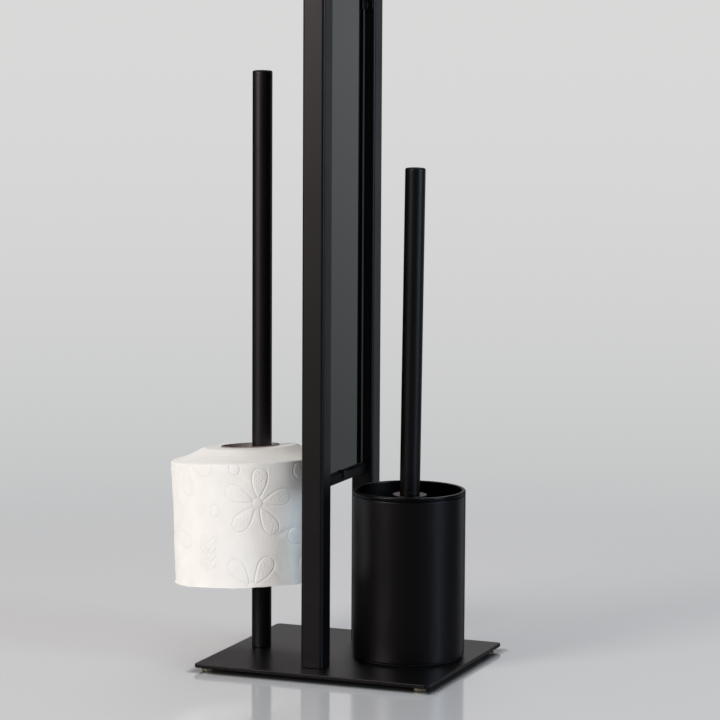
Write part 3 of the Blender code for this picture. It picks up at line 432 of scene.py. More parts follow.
finishSettings = {
    "linerPlastic": plastic((0.0005, 0.0006, 0.0007), 0.34, 0.24),
    "headPlastic": plastic((0.003, 0.003, 0.0033), 0.3, 0.5),
    "saddleRubber": plastic((0.006, 0.006, 0.006), 0.46, 0.34),
    "blackenedSteel": {
        "colour": (0.045, 0.045, 0.048), "rough": 0.34, "inputs": {"Metallic": 0.9},
        "tintBy": ((240.0, 3.0, 0.6), (0.35, 0.7), (0.035, 0.035, 0.038), (0.07, 0.069, 0.07)),
        "roughBy": ((3200.0, 2.0, 0.6), (0.26, 0.42)), "bumpBy": ((3200.0, 2.0, 0.6), 0.000006)},
    "blackRubber": {
        "colour": (0.012, 0.012, 0.012), "rough": 0.72,
        "tintBy": ((300.0, 3.0, 0.6), (0.4, 0.8), (0.01, 0.01, 0.01), (0.024, 0.023, 0.022)),
        "bumpBy": ((1500.0, 2.0), 0.00002)},
    "clearSilicone": {
        "colour": (0.2, 0.17, 0.12), "rough": 0.3, "inputs": {"IOR": 1.41, "Transmission Weight": 0.35},
        "tintBy": ((420.0, 3.0, 0.6), (0.35, 0.7), (0.16, 0.13, 0.09), (0.27, 0.24, 0.19)),
        "roughBy": ((420.0, 3.0, 0.6), (0.25, 0.42))},
    "coreBoard": {
        "colour": (0.3, 0.26, 0.24), "rough": 0.88, "inputs": {"Specular IOR Level": 0.3},
        "tintBy": ((320.0, 3.0, 0.7), (0.35, 0.72), (0.25, 0.215, 0.2), (0.4, 0.355, 0.33)),
        "bumpBy": ((900.0, 4.0, 0.65), 0.00008), "stretch": (1.0, 1.0, 0.35)},
    "blackNylon": {
        "colour": (0.008, 0.008, 0.009), "rough": 0.32,
        "tintBy": ((700.0, 2.0), (0.3, 0.7), (0.005, 0.005, 0.006), (0.018, 0.018, 0.02))},
}
roughEnds = (0.3, 0.7)   # of a noise that drives a roughness


def makeFinish(name, s):
    material, tree, shader = newMaterial(name, s["colour"], s["rough"], s.get("inputs", {}))
    points = objectPoints(tree)
    if "tintBy" in s:
        grain, ends, first, second = s["tintBy"]
        addTint(shader, noise(points, *grain), ends, first, second)
    if "roughBy" in s:
        grain, to = s["roughBy"]
        feed(shader, {"Roughness": spread(noise(points, *grain), roughEnds, to)})
    if "bumpBy" in s:
        grain, height = s["bumpBy"]
        if "stretch" in s:
            points = objectPoints(tree, s["stretch"])
        addBump(shader, noise(points, *grain), height)
    return material


powderCoat = makePowder("satinPowderCoat", powderSettings)
crossbarCoat = makePowder("crossbarPowderCoat", powderSettings, roughShift=0.16, mattTop=True, gloss=0.34)
rodCoat = makePowder("rodPowderCoat", powderSettings, roughShift=0.02, mattTop=True, gloss=0.66)
handleCoat = makePowder("handlePowderCoat", powderSettings, mattTop=True)
plateCoat = makePowder("platePowderCoat", dict(powderSettings, grazing=0.75), gloss=0.47)
sleeveCoat = makePowder("sleevePowderCoat", powderSettings, roughShift=-0.06)
blackGlass = makeGlassFinish(glassSettings)
tissue = makeTissue("embossedTissue", tissueSettings)
tissueEdge = makeTissue("tissueEdge", tissueSettings, micro=False)
finishes = {name: makeFinish(name, s) for name, s in finishSettings.items()}
print("materials made")


# Base plate: laser cut, powder coated, countersunk from below for three screws
plateSettings = dict(
    cornerRadius=0.0035, edge=0.00055, sinkRadius=0.0049, shankRadius=0.0028, sinkDepth=0.0023,
    overrun=0.001,
)
screwedNodes = ("front_post", "back_post", "spare_rod")
cornerNames = ("front_left", "front_right", "back_left", "back_right")
steel = ("stand", "black_steel")


def makeBasePlate(s):
    low, high, middle = extent("base_plate")
    outline = rectangle(high.x - low.x, high.y - low.y, s["cornerRadius"], 12)
    plate = newPiece("basePlate", slabGrid(outline, low.z, high.z, s["edge"]), (middle.x, middle.y, 0.0),
                     plateCoat)
    shank, wide, over = s["shankRadius"], s["sinkRadius"], s["overrun"]
    sink = turnedGrid([(0.0, high.z + over), (shank, high.z + over), (shank, low.z + s["sinkDepth"]),
                       (wide, low.z), (wide, low.z - over), (0.0, low.z - over)], 48)
    places = [extent(node)[2] for node in screwedNodes]
    carve(plate, [newPiece("sink", sink, (place.x, place.y, 0.0), powderCoat) for place in places])
    finishPiece(plate, *steel, "base_plate")


footSettings = dict(
    topRadius=0.0048, shoulder=0.0007, soleRadius=0.003, soleDip=0.00025,
    rounds=(0, 0.0002, 0.0006, 0.0009, 0.0003, 0, 0.0005, 0),
)


def makeFeet(s):
    # a low drop: straight upper rim, rounded flank, and a sole that is a little hollow
    step, sole, dip = s["shoulder"], s["soleRadius"], s["soleDip"]
    for corner in cornerNames:
        low, high, middle = extent("foot_" + corner)
        radius, height = (high.x - low.x) / 2, high.z - low.z
        corners = [(0.0, height), (s["topRadius"], height), (radius, height - step), (radius, step),
                   (sole + step, 0.0), (sole, 0.0), (sole - step, dip), (0.0, dip)]
        grid = turnedGrid(roundCorners(corners, s["rounds"], closed=False), 64)
        addPiece("foot_" + corner + "_pad", grid, (middle.x, middle.y, low.z), finishes["clearSilicone"],
                 "stand", "clear_pad", "foot_" + corner)


# Screws, each turned in one piece: the radii of shank, head and socket, the socket's depth, the
# heights of the neck, of the head's lower edge and of its top, and how round these three corners are
screwSettings = {
    "sunk": {"radii": (0.0025, 0.0046, 0.0017), "depth": 0.0014, "length": 0.0125,
             "heights": (-0.0023, -0.0003, 0.0), "rounds": (0.0003, 0.0001, 0.0001)},
    "pan": {"radii": (0.0012, 0.0019, 0.0009), "depth": 0.0007, "length": 0.006,
            "heights": (0.0, 0.0, 0.0014), "rounds": (0.0001, 0.0001, 0.0007)},
    "cap": {"radii": (0.0025, 0.0045, 0.0017), "depth": 0.0014,
            "heights": (0.0, 0.0, 0.0024), "rounds": (0.0001, 0.0001, 0.0006)},
    "grub": {"socket": 0.0011, "depth": 0.0012, "cone": 0.0004, "chamfer": 0.0002},
    "lead": 0.0001,
    "steps": 48,
}


def screwGrid(s, length):
    # the profile runs from the shank's tip over the head and down into the socket; the socket's
    # rows follow a hexagon and its lead-in cone goes from the hexagon to a circle
    (shank, head, socket), (neck, under, top) = s["radii"], s["heights"]
    corners = [(0.0, -length), (shank * 0.72, -length), (shank, -length + shank * 0.4), (shank, neck),
               (head, under), (head, top), (socket, top)]
    outside = roundCorners(corners, [0, 0, 0, *s["rounds"], 0], closed=False, steps=5)
    lead, floor = screwSettings["lead"], top - s["depth"]
    inside = [(socket + lead, top), (socket, top - lead), (socket, floor), (0.0, floor - socket * 0.35)]
    profile = np.concatenate([outside[:-1], inside])
    share = np.zeros(len(profile))
    share[-4:-1] = 0.35, 1.0, 1.0
    return turnedGrid(profile, screwSettings["steps"], hexShare=share)


def grubGrid(radius, length):
    # a headless screw from -length to 0 with a socket in its outer end
    s, lead = screwSettings["grub"], screwSettings["lead"]
    edge, socket, floor = s["chamfer"], s["socket"], -s["depth"]
    profile = [(0.0, -length), (radius - edge, -length), (radius, edge - length), (radius, -edge),
               (radius - edge, 0.0), (socket + lead, 0.0), (socket, -lead), (socket, floor),
               (0.0, floor - s["cone"])]
    return turnedGrid(profile, screwSettings["steps"], hexShare=[0, 0, 0, 0, 0, 0, 1, 1, 0])


def placeScrew(name, grid, place, axis, node):
    # the screw's own +Z, out of its head, is turned to the axis
    turn = Vector((0.0, 0.0, 1.0)).rotation_difference(Vector(axis)).to_matrix().to_4x4()
    addPiece(name, grid, Matrix.Translation(place) @ turn, finishes["blackenedSteel"], "stand",
             "screw_steel", node)


def makeScrews(s):
    grid = screwGrid(s["sunk"], s["sunk"]["length"])
    for post in screwedNodes:
        low, high, middle = extent(post + "_base_screw")
        placeScrew(post + "_countersunk", grid, (middle.x, middle.y, low.z), (0, 0, -1), post + "_base_screw")
    length = s["pan"]["length"]
    grid = screwGrid(s["pan"], length)
    for where in cornerNames:
        low, high, middle = extent("clip_screw_" + where)
        side, tip = (1, low.y) if where.startswith("front") else (-1, high.y)
        placeScrew("panHead_" + where, grid, (middle.x, tip + side * length, middle.z), (0, side, 0),
                   "clip_screw_" + where)
    low, high, middle = extent("roll_arm_screw")
    seat = high.x - s["cap"]["heights"][2]
    placeScrew("armCapScrew", screwGrid(s["cap"], seat - low.x), (seat, middle.y, middle.z), (1, 0, 0),
               "roll_arm_screw")


# Frame of square tube: two posts and a top rail, mitred, and a small crossbar
frameSettings = dict(
    wall=0.0015, outerRadius=0.0025, innerRadius=0.001, footEdge=0.00025, crossbarEdge=0.0004,
    mitreGap=0.0003,
)


def makeFrame(s):
    low, high, front = extent("front_post")
    back = extent("back_post")[2]
    bottom, half = low.z, (high.x - low.x) / 2
    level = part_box("top_rail")[1].z - half
    slip = s["mitreGap"] / math.sqrt(2)
    for name, y, side in (("front", front.y, 1), ("back", back.y, -1)):
        # the mitre falls towards the inside of the frame
        grid = squareTubeGrid(s, 2 * half, lambda v: bottom + 0 * v, lambda v: level - side * v - slip)
        addPiece(name + "PostTube", grid, (front.x, y, 0.0), powderCoat, *steel, name + "_post")
    # the rail is drawn along Z with its own up as second coordinate, then laid down
    grid = squareTubeGrid(s, 2 * half, lambda v: front.y - v + slip, lambda v: back.y + v - slip)
    addPiece("topRailTube", laidDown(grid), (front.x, 0.0, level), powderCoat, *steel, "top_rail")
    low, high, middle = extent("lower_crossbar")
    outline = rectangle(high.x - low.x, high.z - low.z, s["crossbarEdge"] * 1.5)
    grid = laidDown(slabGrid(outline, low.y, high.y, s["crossbarEdge"] / 2))
    addPiece("lowerCrossbar", grid, (middle.x, 0.0, middle.z), crossbarCoat, *steel, "lower_crossbar")


# Glass panel, the saddle under it and the angle clips that keep it upright
glassParts = dict(
    arris=0.0006, saddleThickness=0.001, saddleInner=0.0039, saddleRound=0.0004, saddleInnerRound=0.0001,
    saddleEnd=0.0002, clipThickness=0.0012, clipRounds=(0.0009, 0.0003, 0.0003, 0.0003, 0.0003, 0.0003),
    clipEnd=0.0002,
)


def makeGlass(s):
    low, high, middle = extent("glass_panel")
    outline = rectangle(high.x - low.x, high.y - low.y, s["arris"], 3)
    addPiece("glassPanel", slabGrid(outline, low.z, high.z, s["arris"], 2), (middle.x, middle.y, 0.0),
             blackGlass, "stand", "black_glass", "glass_panel")
    glass = middle.x

    low, high, middle = extent("glass_saddle")
    outer, inner = (high.x - low.x) / 2, s["saddleInner"]
    crown, under = high.z, high.z - s["saddleThickness"]
    corners = [(outer, low.z), (outer, crown), (-outer, crown), (-outer, low.z), (-inner, low.z),
               (-inner, under), (inner, under), (inner, low.z)]
    tip, turn, tight = s["saddleThickness"] * 0.35, s["saddleRound"], s["saddleInnerRound"]
    outline = roundCorners(corners, [tip, turn, turn, tip, tip, tight, tight, tip])
    addPiece("glassSaddle", laidDown(slabGrid(outline, low.y, high.y, s["saddleEnd"], 3)),
             (middle.x, 0.0, 0.0), finishes["saddleRubber"], "stand", "rubber", "glass_saddle")

    # an L-shaped outline: the clip's foot lies on the post, its lip stands over the glass
    t = s["clipThickness"]
    for where in cornerNames:
        low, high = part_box("glass_clip_" + where)
        side = -1 if where.endswith("left") else 1
        out, foot, lip = (-1, low.y, high.y) if where.startswith("front") else (1, high.y, low.y)
        near, far = sorted((abs(low.x - glass), abs(high.x - glass)))
        corners = [(near, foot), (near, lip), (near + t, lip), (near + t, foot - out * t),
                   (far, foot - out * t), (far, foot)]
        corners = [(glass + side * across, along) for across, along in corners]
        outline = roundCorners(corners, s["clipRounds"], steps=5)[::-side * out]
        addPiece("angleClip_" + where, slabGrid(outline, low.z, high.z, s["clipEnd"], 3), (0.0, 0.0, 0.0),
                 powderCoat, *steel, "glass_clip_" + where)


# Round tubes: the spare roll rod, the roll arm and the brush handle
tubeSettings = dict(
    wall=0.0015, edge=0.0014, footEdge=0.0004, insideRounds=(0.0002, 0.0004),
    crown=0.0006,  # how far the closed end rises in its middle
    crownRows=8, crownTo=0.7,  # share of the radius where its last row lies
    proud=0.0006,  # how far the crown stands over the plain tube's end
    steps=144,
)
restSettings = dict(
    hubRadius=0.0125, hubHeight=0.007, bore=0.0083, edge=0.0006,
    slack=0.0003, hole=(0.004, -0.006),  # room round the grub screw, and its hole's two ends
)


def tubeGrid(radius, length, s, extraRows=()):
    # from the axis at the closed end, over its soft edge, down the wall, and back up inside; the
    # closed end falls by crown * share of the radius squared
    share = np.linspace(0.0, s["crownTo"], s["crownRows"])
    crown = list(zip(radius * share, length - s["crown"] * share ** 2))
    inside, top = radius - s["wall"], length - 2 * s["wall"]
    corners = crown + [(radius, length - s["crown"]), (radius, 0.0), (inside, 0.0), (inside, top), (0.0, top)]
    radii = [0] * len(crown) + [s["edge"], s["footEdge"], *s["insideRounds"], 0]
    profile = roundCorners(corners, radii, closed=False, steps=10)
    if len(extraRows):
        foot = np.argmax((profile[:, 0] > radius - 1e-9) & (profile[:, 1] < length / 2))
        added = np.column_stack([np.full(len(extraRows), radius), extraRows])
        profile = np.concatenate([profile[:foot], added, profile[foot:]])
    return turnedGrid(profile, s["steps"])


def holeCutter(radius, ends, steps, place):
    top, bottom = ends
    grid = turnedGrid([(0.0, top), (radius, top), (radius, bottom), (0.0, bottom)], steps)
    return newPiece("hole", grid, place, powderCoat)


def makeRodAndArm(s, rest):
    low, high, middle = extent("spare_rod")
    grid = tubeGrid((high.x - low.x) / 2, high.z - low.z + s["proud"], s)
    addPiece("spareRodTube", grid, (middle.x, middle.y, low.z), rodCoat, *steel, "spare_rod")
    low, high, middle = extent("roll_arm")
    grid = tubeGrid((high.y - low.y) / 2, high.x - low.x, s)
    turn = Matrix.Translation((high.x, middle.y, middle.z)) @ Matrix.Rotation(-math.pi / 2, 4, 'Y')
    addPiece("rollArmTube", grid, turn, powderCoat, *steel, "roll_arm")

    # the rest is a disc on a hub, bored for the rod, with a grub screw in the hub
    low, high, middle = extent("roll_rest")
    disc, height = (high.x - low.x) / 2, high.z - low.z
    bore, hub, step, edge = rest["bore"], rest["hubRadius"], rest["hubHeight"], rest["edge"]
    corners = [(bore, height), (disc, height), (disc, step), (hub, step), (hub, 0.0), (bore, 0.0)]
    profile = roundCorners(corners, [edge / 2, edge, edge, edge, edge, edge / 2], steps=6)
    piece = newPiece("rollRest", turnedGrid(profile, 96, loop=True), (middle.x, middle.y, low.z), powderCoat)
    low, high, middle = extent("roll_rest_grub_screw")
    radius = (high.z - low.z) / 2
    turn = Matrix.Translation(middle) @ Matrix.Rotation(-math.pi / 2, 4, 'X')
    carve(piece, [holeCutter(radius + rest["slack"], rest["hole"], 32, turn)])
    finishPiece(piece, *steel, "roll_rest")
    placeScrew("restGrub", grubGrid(radius, high.y - low.y), (middle.x, high.y, middle.z), (0, 1, 0),
               "roll_rest_grub_screw")


makeBasePlate(plateSettings)
makeFeet(footSettings)
makeScrews(screwSettings)
makeFrame(frameSettings)
makeGlass(glassParts)
makeRodAndArm(tubeSettings, restSettings)
print("stand made")


# Spare roll: an embossed outer sheet, the wound body with its telescoped ends, and the core
rollSettings = dict(
    underside=0.0657,  # height of its plateau over the plate
    width=0.0994, radius=0.0639,
    offset=0.0015,  # how far the outside lies off the core's middle
    plateau=0.0369, drop=0.0096,
    slopeAt=(0.0, 0.06, 0.19, 0.385, 0.6, 0.8, 1.0),  # from the plateau to the rim
    slope=(0.0, 0.02, 0.21, 0.48, 0.71, 0.86, 1.0),  # share of the drop there
    shift=0.0059, leanFront=-3.03, leanLeft=-3.92, coreBore=0.023, coreWall=0.0009, coreProud=0.0006,
    coreGap=0.0003, plyPitch=0.092, plyWidth=0.0009, plyStep=0.00022, topEdge=0.0011, bottomEdge=0.0005,
    skin=0.0012,  # thickness of the outer sheets
    flare=0.0011,  # how far the lower rim stands out
    flareAt=-2.45,  # angle where it does so most
    dents=((1, 0.3, 0.0003), (2, 0.6, 0.00026), (3, 1.0, 0.00022), (5, 0.8, 0.00016),
           (7, 1.7, 0.00011), (11, 1.2, 0.00007), (13, 2.6, 0.00005)),  # turns, rise, size
    thinned=0.0004,  # taken off all round, so that no dent leaves the CAD roll
    pressed=0.0015,  # how much the side by the posts is pressed in, where and how wide
    pressedAt=0.376, pressedWidth=0.5,
    fray=((3, 0.00022), (7, 0.00018), (17, 0.00012), (29, 0.00008), (53, 0.00005)), frayHeight=0.004,
    wobble=((2, 0.00035), (3, 0.00025), (6, 0.00012)), columns=640, rows=132, rings=64,
    coreSteps=(240, 120), sheetStep=0.00007, endSink=0.0002, sheetPitch=0.0012,
    waves=((0.00005, 0.0031, 0.0), (0.00004, 0.0017, 1.0)),  # size, length, phase
    fadeEnds=(0.0016, 0.0022),  # how far from the foot and the top the motifs fade in
    flareShare=(0.4, 0.6),  # its even part and the part that changes round the rim
    seed=11,
)
# Motifs of the outer sheet, placed by (metres round the roll from its +X side, metres up from the
# foot of the roll, turn of the first petal in degrees or of the sprig)
embossSettings = dict(
    groove=0.0002, grooveWidth=0.00062, puff=0.00011, puffEdge=0.0016,
    reach=0.036,  # no motif is wider than this
    farAway=0.009, petals=5,
    petal=(0.0243, 0.0129),  # length and width
    petalStart=0.004, heart=0.0042,
    flowers=((-0.0681, 0.0576, 83), (-0.0752, -0.0102, 55), (-0.158, 0.032, 61),
             (-0.133, 0.092, -16), (-0.016, 0.024, 165), (0.028, 0.076, 40),
             (0.074, 0.014, 100), (0.112, 0.07, 20), (0.16, 0.008, 75), (0.196, 0.062, 50)),
    ovals=((-0.1045, 0.052, 0.004, 0.0053), (-0.086, 0.0855, 0.0045, 0.005),
           (-0.0316, 0.0815, 0.005, 0.0065), (0.005, 0.055, 0.0042, 0.005),
           (0.056, 0.044, 0.004, 0.0052), (0.092, 0.042, 0.0045, 0.005),
           (0.134, 0.04, 0.004, 0.0053), (0.068, 0.086, 0.005, 0.006),
           (0.15, 0.086, 0.0042, 0.005), (0.178, 0.035, 0.004, 0.005)),
    sprigs=((-0.112, 0.017, 86), (0.036, 0.028, 100), (0.118, 0.017, 70), (0.208, 0.014, 110),
            (0.231, 0.085, 75)),
    leaf=(0.0088, 0.004), leafStart=0.0012, leafTurn=0.75, leafRoots=(-0.013, -0.0065, 0.0, 0.0065),
    stalkThin=0.0001, stalk=0.015,  # half its length
    folds=((-0.066, 0.012, -0.048, -0.006, 0.00022), (-0.056, 0.03, -0.035, 0.038, 0.00035),
           (0.09, 0.09, 0.108, 0.062, 0.0002), (0.18, 0.0000, 0.208, 0.024, 0.00022)),
    foldWidth=0.0016,
)


def rollMatrix(s):
    rod, top = extent("spare_rod")[2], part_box("base_plate")[1].z
    leanLeft = Matrix.Rotation(math.radians(s["leanLeft"]), 4, 'Y')
    lean = leanLeft @ Matrix.Rotation(math.radians(s["leanFront"]), 4, 'X')
    return (Matrix.Translation((rod.x, rod.y, top + s["underside"])) @ lean
            @ Matrix.Translation((-s["shift"], 0.0, 0.0)))


def wrapped(value, span):
    # the same place, at most half a span either side of zero
    return (value + span / 2) % span - span / 2


def turnedBy(u, v, angle):
    # the way along and across a line at the angle
    return u * math.cos(angle) + v * math.sin(angle), v * math.cos(angle) - u * math.sin(angle)


def cosines(draw, angle, waves):
    return sum(size * np.cos(turns * angle + draw.uniform(0, math.tau)) for turns, size in waves)


def unevenness(angle, height, s):
    # slow dents: a sum of cosines of the angle and the height with seeded phases, less a wide bell
    # where the roll is pressed in
    draw = np.random.default_rng(s["seed"])
    total = -s["thinned"]
    for turns, rise, size in s["dents"]:
        phase, lift = draw.uniform(0, math.tau, 2)
        up = np.cos(rise * math.tau * height / s["width"] + lift)
        total = total + size * np.cos(turns * angle + phase) * up
    aside = wrapped(angle - s["pressedAt"], math.tau)
    return total - s["pressed"] * np.exp(-(aside / s["pressedWidth"]) ** 2)


def petalAway(along, across, length, width):
    # signed distance to the outline whose half width is 0.81 w s^0.75 sqrt(1 - s^3) of the share s
    # along; 0.81 makes w the full width
    def half(s):
        return width * 0.81 * s ** 0.75 * np.sqrt(1 - s ** 3)

    s, step = np.clip(along / length, 0.0, 1.0), 0.002
    slope = (half(np.clip(s + step, 0.0, 1.0)) - half(s)) / (step * length)
    away = (np.abs(across) - half(s)) / np.sqrt(1 + slope ** 2)
    outside = np.where(along > length, np.hypot(along - length, across), np.hypot(along, across))
    return np.where((along > 0) & (along < length), away, outside)


def embossing(around, height, girth, e):
    # the nearest motif's signed distance, and the place along and across it where it is a petal
    nearest = np.full(around.shape, e["farAway"])
    places = np.full(around.shape + (2,), -1.0)

    def add(centre, level, turn, shape, petal=False):
        offset, rise = wrapped(around - centre, girth), height - level
        mask = np.hypot(offset, rise) < e["reach"]
        along, across = turnedBy(offset[mask], rise[mask], turn)
        away = shape(along, across)
        closer = away < nearest[mask]
        nearest[mask] = np.where(closer, away, nearest[mask])
        spot = np.stack([along, across], -1) if petal else -1.0
        places[mask] = np.where(closer[:, None], spot, places[mask])

    for centre, level, degrees in e["flowers"]:
        add(centre, level, 0.0, lambda p, q: np.hypot(p, q) - e["heart"])
        for petal in range(e["petals"]):
            turn = math.radians(degrees) + petal * math.tau / e["petals"]
            add(centre, level, turn, lambda p, q: petalAway(p - e["petalStart"], q, *e["petal"]), True)
    for centre, level, wide, tall in e["ovals"]:
        add(centre, level, 0.0, lambda p, q: (np.hypot(p / wide, q / tall) - 1) * wide)
    for centre, level, degrees in e["sprigs"]:
        add(centre, level, math.radians(degrees),
            lambda p, q: np.hypot(np.clip(np.abs(p) - e["stalk"], 0.0, None), q) + e["stalkThin"])

        def leaf(p, q):
            along, across = turnedBy(p - root, q, turn)
            return petalAway(along - e["leafStart"], across, *e["leaf"])

        for root in e["leafRoots"]:
            for turn in (-e["leafTurn"], e["leafTurn"]):
                add(centre, level, math.radians(degrees), leaf)
    return nearest, places


def folds(around, height, girth, e):
    # soft creases: a bell on the distance to a line, fading at its ends
    total = np.zeros(around.shape)
    for startU, startV, endU, endV, depth in e["folds"]:
        length = math.hypot(endU - startU, endV - startV)
        turn = math.atan2(endV - startV, endU - startU)
        along, across = turnedBy(wrapped(around - startU, girth), height - startV, turn)
        fade = np.clip(along / length * 4, 0, 1) * np.clip((1 - along / length) * 4, 0, 1)
        total = total - depth * fade * np.exp(-(across / e["foldWidth"]) ** 2)
    return total


def addRound(name, radius, angle, height, aside, place, *finish):
    # radius and height are grids of (row, angle); the rows close into a ring
    radius, height = np.broadcast_arrays(radius, height)
    points = np.stack([radius * np.cos(angle) - aside, radius * np.sin(angle), height], -1)
    grid = points.reshape(-1, 3), gridFaces(len(points), len(angle), closeRows=True)
    return addPiece(name, grid, place, *finish, weighted=False)


def makeOuterSheet(s, e, matrix):
    radius, skin, low, high = s["radius"], s["skin"], s["bottomEdge"], s["topEdge"]
    bottom, top = -s["drop"], s["width"] - s["drop"]
    corners = [(radius - skin, bottom), (radius, bottom), (radius, top), (radius - skin * 1.3, top)]
    outer = roundCorners(corners, [0, low, high, 0], closed=False, steps=5)
    straight = np.linspace(bottom + low, top - high, s["rows"])[1:-1]
    wall = np.column_stack([np.full(len(straight), radius), straight])
    split = np.argmax(outer[:, 1] > (bottom + top) / 2)
    inner = [(radius - skin, top - high), (radius - skin, bottom + low)]
    profile = np.concatenate([outer[:split], wall, outer[split:], inner])
    angle = np.arange(s["columns"]) * math.tau / s["columns"]
    height = profile[:, 1:] + 0 * angle
    around = angle * radius + 0 * height
    away, places = embossing(around, height, math.tau * radius, e)
    inside = np.clip(-away / e["puffEdge"], 0.0, 1.0)
    lift = e["puff"] * inside * inside * (3 - 2 * inside)
    lift = lift - e["groove"] * np.exp(-(away / e["grooveWidth"]) ** 2)
    lift = lift + folds(around, height, math.tau * radius, e)
    foot, head = s["fadeEnds"]
    fade = np.clip((height - bottom) / foot, 0, 1) * np.clip((top - height) / head, 0, 1)
    fade[-2:] = 0.0
    # the lower rim frays a little: some of the sheets hang lower than others
    fray = cosines(np.random.default_rng(s["seed"] + 1), angle, s["fray"])
    hang = np.clip(1 - (height - bottom) / s["frayHeight"], 0, 1) ** 2
    even, turning = s["flareShare"]
    flare = s["flare"] * (even + turning * np.cos(angle - s["flareAt"])) + 0.5 * fray
    outwards = profile[:, :1] + unevenness(angle, height, s) + lift * fade
    outwards = outwards + np.clip(flare, 0.0, None) * hang ** 2
    piece = addRound("paperRollSheet", outwards, angle, height + fray * hang, s["offset"], matrix, tissue,
                     "spare_roll", "paper", "paper_roll")
    addSheetMap(piece, matrix, radius)
    motif = piece.data.attributes.new("motif", 'FLOAT_VECTOR', 'POINT')
    motif.data.foreach_set("vector", np.concatenate([away[..., None], places], -1).ravel())


def readMesh(items, key, width, kind):
    values = np.zeros(len(items) * width, kind)
    items.foreach_get(key, values)
    return values


def addSheetMap(piece, matrix, radius):
    # UV in metres: (angle times radius, height along the roll), with the seam's faces kept whole
    mesh = piece.data
    local = moved(readMesh(mesh.vertices, "co", 3, float).reshape(-1, 3), matrix.inverted())
    index = readMesh(mesh.loops, "vertex_index", 1, int)
    starts = readMesh(mesh.polygons, "loop_start", 1, int)
    angle = np.arctan2(local[:, 1], local[:, 0])[index]
    owner = np.repeat(angle[starts], np.diff(np.append(starts, len(index))))
    angle = np.where(angle - owner > math.pi, angle - math.tau, angle)
    angle = np.where(owner - angle > math.pi, angle + math.tau, angle)
    layer = mesh.uv_layers.new(name="sheet")
    layer.data.foreach_set("uv", np.column_stack([angle * radius, local[index, 2]]).ravel())


def makeWoundBody(s, matrix):
    # both ends follow the same telescoped cone; bundles of sheets stand a little proud of others
    columns = s["columns"] // 2
    draw = np.random.default_rng(s["seed"] + 2)
    angle = np.arange(columns) * math.tau / columns
    inner = s["coreBore"] + s["coreWall"] + s["coreGap"]
    share = np.linspace(0.0, 1.0, s["rings"])[:, None]
    radius = inner + (s["radius"] - s["skin"] * 1.15 - inner) * share
    rimward = (radius - s["plateau"]) / (s["radius"] - s["plateau"])
    slope = s["drop"] * np.interp(rimward, s["slopeAt"], s["slope"])
    sheets = np.convolve(draw.uniform(-1.0, 1.0, s["rings"]), [0.25, 0.5, 0.25], "same")[:, None]
    winding = (radius - s["sheetPitch"] * angle / math.tau) * math.tau
    waves = sum(size * np.sin(winding / length + phase) for size, length, phase in s["waves"])
    wobble = cosines(draw, angle, s["wobble"])
    relief = s["sheetStep"] * sheets + waves + wobble * share * (1 - share) * 4
    relief = relief * np.clip(share * 14, 0, 1) * np.clip((1 - share) * 14, 0, 1)
    dented = radius + unevenness(angle, s["width"] - s["drop"], s) * share ** 2
    allRadius = np.concatenate([dented, dented[::-1]])
    sink = s["endSink"]
    allHeight = np.concatenate([s["width"] - slope + relief - sink, (-slope + relief + sink)[::-1]])
    aside = s["offset"] * np.clip((allRadius - s["plateau"]) / (s["radius"] - s["plateau"]), 0.0, 1.0)
    addRound("paperRollBody", allRadius, angle, allHeight, aside, matrix, tissueEdge, "spare_roll", "paper",
             "paper_roll")


def makeCore(s, matrix):
    # a tube whose inside has the step of a spiral ply: radius rises by a bell on the distance to a helix
    columns, rows = s["coreSteps"]
    angle = np.arange(columns) * math.tau / columns
    height = np.linspace(0.0, s["width"] + s["coreProud"], rows)[:, None]
    way = (height / s["plyPitch"] - angle / math.tau) % 1.0
    seam = np.exp(-((way - 0.5) * s["plyPitch"] / s["plyWidth"]) ** 2) * s["plyStep"]
    radius = np.concatenate([s["coreBore"] + seam, np.full((2, columns), s["coreBore"] + s["coreWall"])])
    height = np.concatenate([height, height[[-1, 0]]])
    addRound("cardboardCore", radius, angle, height, 0.0, matrix, finishes["coreBoard"], "spare_roll",
             "cardboard", "roll_core")


rollPlace = rollMatrix(rollSettings)
makeOuterSheet(rollSettings, embossSettings, rollPlace)
makeWoundBody(rollSettings, rollPlace)
makeCore(rollSettings, rollPlace)
print("spare roll made")


# Cup: a steel sleeve, the liner that hangs in it by its lip, and a rubber ring under it
cupSettings = dict(
    sleeveWall=0.001, lipHeight=0.0035, linerWall=0.0016, sideGap=0.0006, ringWidth=0.005,
    ringRound=0.0003, steps=160,
    sleeveRounds=(0, 0.0004, 0.0002, 0.0005, 0.001, 0),  # one for each corner of the profile
    linerRounds=(0, 0.004, 0.0012, 0.0012, 0.0003, 0.0002, 0.004, 0),
)


